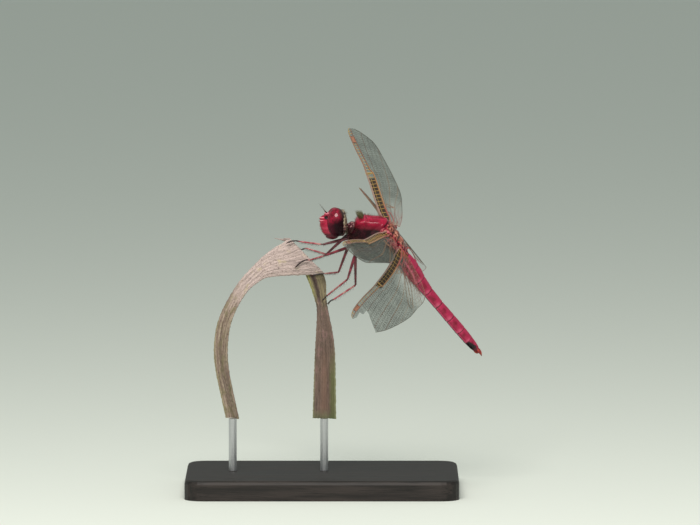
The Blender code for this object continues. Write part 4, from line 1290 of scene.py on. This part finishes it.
    def edge(self, form, width):
        """The trailing edge and the inner edge at the root."""
        out = np.concatenate((np.linspace(0.0, 6.0, 60), np.linspace(6.1, self.length - 0.02, 220)))
        trail = np.column_stack((out, self.trail(out)))
        if self.torn:
            trail = trail[out < TORN_LOBE[-1][0]]
        self.run(form, trail, 1.6 * width, RANK["trailing"])
        inner = np.linspace(-0.1, self.trail(0.0), 12)
        self.run(form, np.column_stack((0 * inner, inner)), 1.6 * width, RANK["inner"])

    def ladders(self, form, width):
        """Short veins across the leading strips, closer together towards the root; none inside the stigma."""
        count = 14 if self.fore else 12
        before = self.node_out * np.linspace(0.05, 0.985, count) ** 0.92
        beyond = np.linspace(self.node_out + 0.9, self.length - 1.2, 15)
        stigma = self.stigma_span()
        beyond = beyond[(beyond < stigma[0] - 0.2) | (beyond > stigma[1] + 0.2)]
        for out in (before, beyond):
            lean = 0.12
            top, low = self.lead(out), self.lead(out) + self.vein_gap(out)
            rungs = (np.stack((out - lean, top), axis=-1), np.stack((out + lean, low), axis=-1))
            self.ribs(form, np.stack(rungs, axis=1), 2.4 * width, RANK["ladder"], 0.25)
        ends = [[(stop, self.lead(stop)), (stop, self.lead(stop) + self.vein_gap(stop))] for stop in stigma]
        self.ribs(form, ends, 2.4 * width, RANK["stem"])
        node = self.node_out
        notch = [[(node, self.lead(node)), (node + 0.15, self.row(0, node) + 0.1)]]
        self.ribs(form, notch, 4.0 * width, RANK["ladder"])

    def stigma_span(self):
        """Where the coloured cell starts and ends."""
        full = 28.4 if self.fore else 27.4
        return 0.835 * full, 0.9 * full

    def roots(self, form, width):
        """Stout veins that fan from the root, the arch and the triangle, and the hind wing's boot loop."""
        arch = self.arch_out
        start = self.lead(arch) + self.vein_gap(arch)
        stem = smooth_through(((0.0, 1.2), (1.8, 1.9), (arch, start + 0.75)), 24)
        self.run(form, stem, 3.6 * width, RANK["stem"])
        bow = [(arch, start), (arch + 0.12, start + 0.4), (arch, start + 0.75)]
        self.run(form, bow, 2.4 * width, RANK["stem"])
        triangle = ((1.5, 0.55), (3.0, 0.75), (1.5, 1.5))
        if self.fore:
            triangle = ((1.8, 0.6), (2.7, 0.7), (2.0, 2.0))
        corners = [(arch + out, start + back) for out, back in (*triangle, triangle[0])]
        self.run(form, corners, 1.7 * width, RANK["triangle"])
        if self.fore:
            tails = (((0.0, 1.5), (2.5, 2.3), (5.4, 3.3), (8.6, 5.2)), ((0.0, 2.0), (2.0, 2.9), (3.4, 4.0)))
        else:
            tails = (
                (
                    (0.0, 1.5), (2.0, 2.2), (4.4, 3.2), (6.6, 4.6),
                    (8.8, 6.1), (9.6, 7.3), (8.9, 7.75), (7.6, 7.0),
                ),
                ((7.6, 7.0), (6.0, 6.0), (4.7, 4.7), (4.0, 3.2)),
                ((4.4, 3.2), (6.0, 5.0), (7.8, 6.5), (8.9, 7.3)),
                ((0.0, 2.0), (1.6, 3.2), (3.2, 5.4), (4.2, 8.0)),
            )
        for path in tails:
            self.run(form, smooth_through(path, 40), 1.5 * width, RANK["loop"])

    def net(self, form, width):
        """Rows of cells between neighbouring lengthwise veins, from the main vein to the trailing edge."""
        pitch, last = 0.62, 24
        for number in range(last):
            lean = 0.0 if number < 2 else 0.1
            steps = np.arange(0, int(self.length / pitch * 2))
            out = steps * pitch / 2 + 0.08 * waver(steps * 1.7, np.full(len(steps), number * 2.3))
            third = number % 3 == 1
            start = 0.5 if number > 6 else self.arch_out + (0.0 if third else 1.2 + 0.7 * (number % 3))
            kept = (out > start) & (out < self.length - 0.25)
            up = (steps % 2) == (number % 2)
            back = self.row(number, out) + np.where(up, lean, -lean) * (number > 0)
            margin = self.trail(out)
            spots = np.column_stack((out, np.minimum(back, margin)))
            inside = kept & (back < margin + 0.3)
            both = inside[:-1] & inside[1:] & ((back[:-1] < margin[:-1]) | (back[1:] < margin[1:]))
            if number > 0:
                thick = (1.4 if third and number < 9 else 0.8) * width
                pairs = np.stack((spots[:-1], spots[1:]), axis=1)[both]
                self.ribs(form, pairs, thick, RANK["row" if third else "fine"])
            below = self.row(number + 1, out) - lean * (number + 1 > 1)
            ends = np.column_stack((out, np.minimum(below, margin)))
            links = inside & up & (back < margin - 0.12)
            self.ribs(form, np.stack((spots, ends), axis=1)[links], 0.72 * width, RANK["fine"])

    def stigma(self):
        """The coloured cell: a thicker plate between the leading edge and the main vein."""
        form = Form()
        low, high = self.stigma_span()
        out = np.linspace(low, high, 30)[:, None]
        across = np.linspace(0.06, 0.94, 8)[None, :]
        back = self.lead(out) + self.vein_gap(out) * across
        out = out + 0.1 * (across - 0.5)
        form.plate(self.at(out, back), np.full(out.shape, 0.09), np.stack((out, back, 0 * out), axis=-1))
        return form


# The hinge plates: way out from the wing's root, way back, and half sizes.
HINGE_PLATES = (
    (-0.35, 0.35, (0.5, 0.42, 0.3)),
    (-0.3, 1.05, (0.42, 0.4, 0.26)),
    (-0.35, 1.75, (0.4, 0.34, 0.22)),
)


def wing_seats():
    """The knobbly plates that each wing hinges on: three ovals in a row, and a stub at the leading edge."""
    form = Form()
    for name in WING_TURNS:
        wing = Wing(name)
        for out, back, size in HINGE_PLATES:
            axes = np.eye(4)
            axes[:3, :3] = np.column_stack((wing.outward, wing.backward, wing.upward))
            axes[:3, 3] = wing.root + wing.outward * out + wing.backward * back
            form.ball(axes, (0.0, 0.0, 0.0), size, 16, 24)
        path = [(0.9, 0.05), (0.2, 0.1), (-0.5, 0.3)]
        form.tube([wing.at(np.array(o), np.array(b)) for o, b in path], [0.15, 0.2, 0.22], 14, 24)
    return form


def blade_strip(near_edge, far_edge, bows, strip, rows=260, columns=36):
    """A strip of blade between two smooth edges, bowed by 4 bow s (1 - s), ribbed along, thin at its rims.

    The thickness is 0.12 at a rim and reaches its full value as (1 - |2 s - 1|^6) a little way in.
    """
    form = Form()
    near, far = smooth_through(near_edge, rows), smooth_through(far_edge, rows)
    share = np.linspace(0.0, 1.0, columns)[None, :, None]
    along = unit(np.gradient((near + far) / 2, axis=0))
    gone = np.concatenate(((0.0,), np.cumsum(np.linalg.norm(np.diff((near + far) / 2, axis=0), axis=1))))
    ragged = 0.05 * waver(gone * 3.1, gone * 0.7)[:, None]
    across = unit(far - near)
    near, far = near + across * ragged, far + across * ragged[::-1]
    middle = near[:, None] * (1 - share) + far[:, None] * share
    normal = np.cross(far - near, along)
    width = np.linalg.norm(normal, axis=1)[:, None]
    normal = normal / width
    bow = np.linspace(*bows, rows)[:, None] * width * 4 * share[..., 0] * (1 - share[..., 0])
    ribs = 0.035 * np.cos(share[..., 0] * math.tau * 9)
    ribs = ribs + 0.03 * waver(gone[:, None] * 1.9, share[..., 0] * 9.0)
    middle = middle + (bow + ribs)[..., None] * normal[:, None]
    rim = 1 - np.abs(2 * share[..., 0] - 1) ** 6
    thickness = 0.12 + (BLADE_THICKNESS - 0.12) * rim + 0 * width
    places = np.stack(np.broadcast_arrays(gone[:, None], share[..., 0], strip), axis=-1)
    form.plate(middle, thickness, places)
    return form


def splinters():
    """Torn fibres at the peak of the fold: flat slivers that thin to a point."""
    form = Form()
    path = np.asarray(SPLINTER)
    for shift, size in (((0.0, 0.0, 0.0), 1.0), ((0.35, 0.12, -0.2), 0.7), ((0.6, -0.1, 0.12), 0.55)):
        start = path[0] + shift
        sliver = [start + (stop - path[0]) * size for stop in path]
        form.tube(sliver, [0.14, 0.1, 0.03], 10, 24, place=(2.0, 0.5, 0.0))
    return form


def thorax_hair(count, ahead, turned, long, lean, seed):
    """Hairs over the thorax between two places along it and two turns round it, leaning as given."""
    form = Form()
    random = np.random.default_rng(seed)
    along, turn = random.uniform(*ahead, (count, 1)), np.radians(random.uniform(*turned, (count, 1)))
    roots = thorax_point(along, turn)[:, 0]
    step = thorax_point(along, turn + 0.02)[:, 0] - roots
    out = unit(np.cross(step, thorax_point(along + 0.02, turn)[:, 0] - roots))
    out = out * np.sign((out * (roots - (6.0, 0.0, -2.0))).sum(axis=1))[:, None]
    ways = out + random.normal(0.0, 0.25, (count, 3)) + lean
    chart = np.column_stack((along[:, 0] / 10.5, (np.degrees(turn[:, 0]) % 360.0) / 380.0 + 0.02))
    places = np.column_stack((along[:, 0], turn[:, 0], 0 * along[:, 0]))
    roots, ways = carried(roots, BODY), ways @ BODY[:3, :3].T
    form.needles(roots, ways, long * random.uniform(0.6, 1.2, count), 0.035, places, chart)
    return form


def head_hair(length, seed):
    """A fringe of pale hairs round the rim behind the eyes."""
    form = Form()
    random = np.random.default_rng(seed)
    count = 160
    turn = random.uniform(0.0, math.tau, count)
    tilt = random.uniform(0.35, 0.8, count)
    rounds = np.column_stack((-np.sin(tilt), np.cos(tilt) * np.cos(turn), np.cos(tilt) * np.sin(turn)))
    own = np.asarray(CAPSULE_CENTRE) + np.asarray(CAPSULE_RADII) * rounds
    ways = rounds / np.asarray(CAPSULE_RADII) + random.normal(0.0, 0.2, (count, 3)) + (-0.5, 0.0, 0.1)
    chart = np.column_stack((turn / 7.0 + 0.03, tilt * 0.4 + 0.05))
    places = np.column_stack((turn, tilt, 0 * turn))
    hairs = length * random.uniform(0.3, 0.75, count)
    form.needles(carried(own, HEAD), ways @ HEAD[:3, :3].T, hairs, 0.03, places, chart)
    return form


def face_hair(length, seed):
    """Sparse short bristles over the face."""
    form = Form()
    random = np.random.default_rng(seed)
    count = 130
    height, turn = random.uniform(-1.9, 1.2, count), random.uniform(-1.35, 1.35, count)
    deep, wide = smooth_read(FACE, height, 1) - FACE_BACK, smooth_read(FACE, height, 2)
    own = np.column_stack((FACE_BACK + deep * np.cos(turn) - 0.05, wide * np.sin(turn), height))
    ways = np.column_stack((np.cos(turn), np.sin(turn), 0.1 + 0 * turn)) + random.normal(0.0, 0.2, (count, 3))
    chart = np.column_stack((0.5 + turn / 3.0, 0.7 + height / 5.0))
    places = np.column_stack((turn, height, 0 * turn))
    form.needles(carried(own, HEAD), ways @ HEAD[:3, :3].T, length * 0.45, 0.02, places, chart)
    return form


def abdomen_hair(length, seed):
    """Hairs on the underside of the first rings, thicker towards the thorax."""
    form = Form()
    random = np.random.default_rng(seed)
    count = 520
    behind = 0.3 + 6.5 * random.uniform(0.0, 1.0, count) ** 1.4
    turn = np.radians(random.uniform(170.0, 370.0, count))
    wide, high, drop = (read(ABDOMEN, behind, column) for column in (1, 2, 3))
    own = np.column_stack((-behind, wide * np.cos(turn), -drop + high * np.sin(turn)))
    ways = np.column_stack((-0.5 + 0 * turn, np.cos(turn), np.sin(turn)))
    ways += random.normal(0.0, 0.2, (count, 3))
    chart = np.column_stack((behind / 8.0, np.degrees(turn) / 400.0))
    places = np.column_stack((behind, turn, 0 * turn))
    hairs = length * 0.7 * random.uniform(0.6, 1.1, count)
    form.needles(carried(own, BODY), ways @ BODY[:3, :3].T, hairs, 0.03, places, chart)
    return form


# Settings


def colour(name, description, red, green, blue):
    """A colour setting with its start value."""
    return FloatVectorProperty(
        name=name,
        description=description,
        subtype="COLOR",
        size=4,
        min=0.0,
        max=1.0,
        default=(red, green, blue, 1.0),
    )


def span(name, description, millimetres):
    """A length setting in metres; its start value is given in millimetres."""
    return FloatProperty(
        name=name, description=description, unit="LENGTH", subtype="DISTANCE", min=0.0, soft_max=0.01,
        precision=5, default=millimetres * MM,
    )


class DragonflyLook(bpy.types.PropertyGroup):
    """The colours."""

    crimson: colour("Crimson", "Upper half of the eyes and the brightest shell", 0.36, 0.005, 0.035)
    # Maroon also serves as painted shade: in the face's pocket, on the thorax's sides, folds, gaps and
    # crease, in the hinge gaps, and on the thighs near the hip.
    maroon: colour("Maroon", "Shell in its darkest places", 0.04, 0.003, 0.009)
    # Pink is also the painted sheen on top of the thorax.
    pink: colour("Pink", "Thin edges and ridges that shine through", 0.58, 0.1, 0.18)
    scarlet: colour("Scarlet", "Upper side of the abdomen", 0.37, 0.016, 0.065)
    orange: colour("Orange", "Tail hooks", 0.38, 0.045, 0.02)
    hinge: colour("Wing hinge", "Plates between the wings", 0.3, 0.095, 0.062)
    leg_red: colour("Leg red", "Thighs and shins", 0.36, 0.05, 0.075)
    wing_clear: colour("Clear wing", "Skin between the veins", 0.16, 0.185, 0.16)
    wing_amber: colour("Amber wing", "Skin near the roots and along the leading strips", 0.36, 0.12, 0.035)
    vein_red: colour("Red veins", "Stout veins along the leading edges", 0.29, 0.05, 0.045)
    vein_amber: colour("Amber veins", "Short veins across the leading strips", 0.5, 0.32, 0.1)
    vein_pale: colour("Pale veins", "Leading edge of each wing", 0.35, 0.22, 0.17)
    blade_pale: colour("Pale blade", "Bleached face of the fold", 0.54, 0.42, 0.39)
    blade_olive: colour("Olive blade", "Shaded side of the drooping strip", 0.17, 0.145, 0.07)
    blade_brown: colour("Brown blade", "Drooping and upright strips", 0.17, 0.11, 0.085)
    blade_green: colour("Green blade", "Foot of the upright strip", 0.1, 0.13, 0.05)
    base_stain: colour("Base stain", "Stained wood of the stand", 0.012, 0.009, 0.008)


class DragonflySizes(bpy.types.PropertyGroup):
    """The fine sizes that the CAD part leaves out."""

    wing_skin: span("Wing skin", "Thickness of the clear wing skin", 0.03)
    vein: span("Vein", "Width of the finest veins; the stout ones are multiples of it", 0.034)
    bristle: span("Bristles", "Length of the longest leg bristles", 0.62)
    hair: span("Hair", "Length that the body hairs are multiples of", 0.75)
    key_power: FloatProperty(
        name="Key light", description="Power of the soft main light", unit="POWER", default=3.1
    )
    fill_power: FloatProperty(name="Fill light", description="Strength of the pale surroundings", default=0.4)


# Operators


class DragonflyOperator(bpy.types.Operator):
    """Common start of the operators that add pieces."""

    bl_options = {"REGISTER", "UNDO"}

    def execute(self, context):
        self.build(context.scene.dragonfly_look, context.scene.dragonfly_sizes)
        return {"FINISHED"}


class AddEyes(DragonflyOperator):
    """Add the two faceted eyes"""

    bl_idname = "dragonfly.eyes"
    bl_label = "Eyes"

    def build(self, look, sizes):
        finish = eye_finish(look)
        for name, side in (("left", 1), ("right", -1)):
            eye(side).make(f"faceted_eye_{name}", finish, "compound_eye", f"eye_{name}")


class AddHead(DragonflyOperator):
    """Add the head behind the eyes, the face, the mouth, the forehead bump and the feelers"""

    bl_idname = "dragonfly.head"
    bl_label = "Head"

    def build(self, look, sizes):
        head_capsule().make("head_back", capsule_finish(look), "capsule_cuticle", "head_capsule")
        front = face_finish(look)
        face().make("face_shields", front, "face_cuticle", "face")
        mouthparts().make("mouth_lobes", front, "face_cuticle", "mouthparts")
        forehead().make("forehead_bump", front, "face_cuticle", "vertex")
        dark = dark_finish(look)
        small_eyes().make("small_eyes", dark, "dark_cuticle")
        for name, side in (("left", 1), ("right", -1)):
            feeler(side).make(f"feeler_{name}", dark, "dark_cuticle", f"antenna_{name}")
        neck().make("ringed_neck", neck_finish(look), "thorax_cuticle", "prothorax")


class AddBody(DragonflyOperator):
    """Add the skins of the thorax, the abdomen and its hooks, and the plates that the wings hinge on"""

    bl_idname = "dragonfly.body"
    bl_label = "Body"

    def build(self, look, sizes):
        thorax().make("thorax_skin", thorax_finish(look), "thorax_cuticle", "thorax")
        rings = [f"abdomen_{number}" for number in range(1, 11)]
        abdomen().make("abdomen_skin", abdomen_finish(look), "abdomen_cuticle", *rings)
        orange = tail_finish(look)
        claspers().make("tail_hooks", orange, "tail_orange", "cercus_left", "cercus_right", "epiproct")
        wing_seats().make("wing_hinges", hinge_finish(look), "thorax_cuticle")


class AddLegs(DragonflyOperator):
    """Add the six legs with their claws and bristles"""

    bl_idname = "dragonfly.legs"
    bl_label = "Legs"

    def build(self, look, sizes):
        finish = leg_finish(look)
        for leg in LEGS:
            nodes = [f"{part}_{leg}" for part in ("femur", "tibia", "tarsus")]
            leg_parts(leg).make(f"leg_{leg}", finish, "leg_red", *nodes)
        dark = dark_finish(look)
        claws().make("foot_claws", dark, "leg_dark")
        bristles(sizes.bristle / MM, 5).make("leg_bristles", dark, "leg_dark")


class AddWings(DragonflyOperator):
    """Add the four wings: clear skin, veins and the coloured cell"""

    bl_idname = "dragonfly.wings"
    bl_label = "Wings"

    def build(self, look, sizes):
        skin, net, cell = membrane_finish(look), vein_finish(look), stigma_finish(look)
        for name in WING_TURNS:
            wing = Wing(name)
            wing.skin(sizes.wing_skin / MM).make(f"wing_skin_{name}", skin, "wing_membrane", f"wing_{name}")
            wing.veins(sizes.vein / MM).make(f"wing_veins_{name}", net, "wing_membrane")
            wing.stigma().make(f"wing_cell_{name}", cell, "wing_membrane")


class AddHairs(DragonflyOperator):
    """Add the hairs of the thorax, the head and the first rings of the abdomen"""

    bl_idname = "dragonfly.hairs"
    bl_label = "Hairs"

    def build(self, look, sizes):
        length = sizes.hair / MM
        pale = hair_finish(look, "pale_hair", (0.12, 0.09, 0.06, 1.0), (0.2, 0.17, 0.11, 1.0))
        olive = hair_finish(look, "olive_hair", (0.1, 0.09, 0.035, 1.0), (0.21, 0.2, 0.09, 1.0))
        russet = hair_finish(look, "russet_hair", (0.09, 0.012, 0.01, 1.0), (0.2, 0.07, 0.05, 1.0))
        crest = thorax_hair(210, (9.48, 9.84), (60.0, 165.0), length * 1.45, (2.9, 0.0, 0.3), 11)
        crest.make("thorax_crest", olive, "thorax_cuticle")
        coat = thorax_hair(520, (7.5, 9.7), (-60.0, 240.0), length * 0.6, (0.3, 0.0, 0.1), 14)
        coat.make("thorax_hair", russet, "thorax_cuticle")
        head_hair(length, 12).make("head_hair", pale, "capsule_cuticle")
        face_hair(length, 15).make("face_hair", russet, "face_cuticle")
        abdomen_hair(length, 13).make("abdomen_hair", russet, "abdomen_cuticle")


class AddBlade(DragonflyOperator):
    """Add the folded dry blade that the dragonfly grips"""

    bl_idname = "dragonfly.blade"
    bl_label = "Blade"

    def build(self, look, sizes):
        finish = blade_finish(look)
        strips = (
            ("fold", FOLD_UPPER, FOLD_LOWER, (-0.01, -0.01), 0.0),
            ("curl", CURL_OUTER, CURL_INNER, (0.0, 0.25), 1.0),
            ("upright", UPRIGHT_LEFT, UPRIGHT_RIGHT, (0.03, 0.2), 2.0),
        )
        for name, near, far, bows, strip in strips:
            blade_strip(near, far, bows, strip).make(f"blade_{name}", finish, "dry_blade", f"perch_{name}")
        splinters().make("blade_splinters", finish, "dry_blade", "perch_splinter")


class DressStand(DragonflyOperator):
    """Give the CAD stand its stained wood and brushed steel rods"""

    bl_idname = "dragonfly.stand"
    bl_label = "Stand"

    def build(self, look, sizes):
        wood, steel = wood_finish(look), steel_finish(look)
        for node, finish in (("stand_base", wood), ("stand_rod_left", steel), ("stand_rod_right", steel)):
            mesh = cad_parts[node].data
            mesh.materials.clear()
            mesh.materials.append(finish)


class SetStage(DragonflyOperator):
    """Add the floor, the lights and the camera"""

    bl_idname = "dragonfly.stage"
    bl_label = "Stage"

    def build(self, look, sizes):
        scene = bpy.context.scene
        scene.view_settings.view_transform = "Standard"
        mesh = bpy.data.meshes.new("floor")
        reach = FLOOR_REACH
        corners = [(-reach, -reach, 0), (reach, -reach, 0), (reach, reach, 0), (-reach, reach, 0)]
        mesh.from_pydata(corners, [], [(0, 1, 2, 3)])
        ground = Finish("floor_grey", Base_Color=(0.8, 0.83, 0.77, 1.0), Roughness=0.9)
        mesh.materials.append(ground.material)
        floor = bpy.data.objects.new("floor", mesh)
        scene.collection.objects.link(floor)
        world = bpy.data.worlds.new("pale_surroundings")
        world.use_nodes = True
        surroundings = world.node_tree.nodes["Background"].inputs
        surroundings["Color"].default_value = (0.86, 0.95, 0.9, 1.0)
        surroundings["Strength"].default_value = sizes.fill_power
        scene.world = world
        light = bpy.data.lights.new("key", "AREA")
        light.shape, light.energy, light.color = "ELLIPSE", sizes.key_power, (1.0, 0.97, 0.92)
        light.size, light.size_y = KEY_SIZE
        self.point_at("key", light, KEY_AZIMUTH, KEY_ELEVATION, KEY_DISTANCE, KEY_TARGET)
        camera = bpy.data.cameras.new("camera")
        camera.lens, camera.sensor_width = CAMERA_LENS, CAMERA_SENSOR
        camera.clip_start, camera.clip_end = 0.05, 200.0
        scene.camera = self.point_at(
            "camera", camera, CAMERA_AZIMUTH, CAMERA_ELEVATION, CAMERA_DISTANCE, CAMERA_TARGET
        )

    def point_at(self, name, data, azimuth, elevation, distance, target):
        """Hang a light or camera at that angle and distance from the target, looking at it."""
        azimuth, elevation = math.radians(azimuth), math.radians(elevation)
        flat = math.cos(elevation)
        way = Vector((math.sin(azimuth) * flat, -math.cos(azimuth) * flat, math.sin(elevation)))
        thing = bpy.data.objects.new(name, data)
        bpy.context.scene.collection.objects.link(thing)
        thing.location = Vector(target) + way * distance
        thing.rotation_euler = way.to_track_quat("Z", "Y").to_euler()
        return thing


class DragonflyPanel(bpy.types.Panel):
    """The add-on's panel in the sidebar"""

    bl_idname = "VIEW3D_PT_dragonfly"
    bl_label = "Dragonfly"
    bl_space_type = "VIEW_3D"
    bl_region_type = "UI"
    bl_category = "Dragonfly"

    def draw(self, context):
        layout = self.layout
        for settings in (context.scene.dragonfly_look, context.scene.dragonfly_sizes):
            column = layout.column()
            for name in settings.bl_rna.properties.keys():
                if name not in {"name", "rna_type"}:
                    column.prop(settings, name)
        for step in STEPS:
            layout.operator(step.bl_idname)


STEPS = (AddEyes, AddHead, AddBody, AddLegs, AddWings, AddHairs, AddBlade, DressStand, SetStage)
CLASSES = (DragonflyLook, DragonflySizes, *STEPS, DragonflyPanel)


def register():
    """Register the classes and hang the settings on the scene."""
    for item in CLASSES:
        bpy.utils.register_class(item)
    bpy.types.Scene.dragonfly_look = PointerProperty(type=DragonflyLook)
    bpy.types.Scene.dragonfly_sizes = PointerProperty(type=DragonflySizes)


def unregister():
    """Take the settings off the scene and unregister the classes."""
    del bpy.types.Scene.dragonfly_sizes
    del bpy.types.Scene.dragonfly_look
    for item in reversed(CLASSES):
        bpy.utils.unregister_class(item)


def main():
    """Register the add-on and run its operators in order."""
    register()
    for step in STEPS:
        group, name = step.bl_idname.split(".")
        getattr(getattr(bpy.ops, group), name)()
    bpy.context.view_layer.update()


if __name__ == "__main__":
    main()
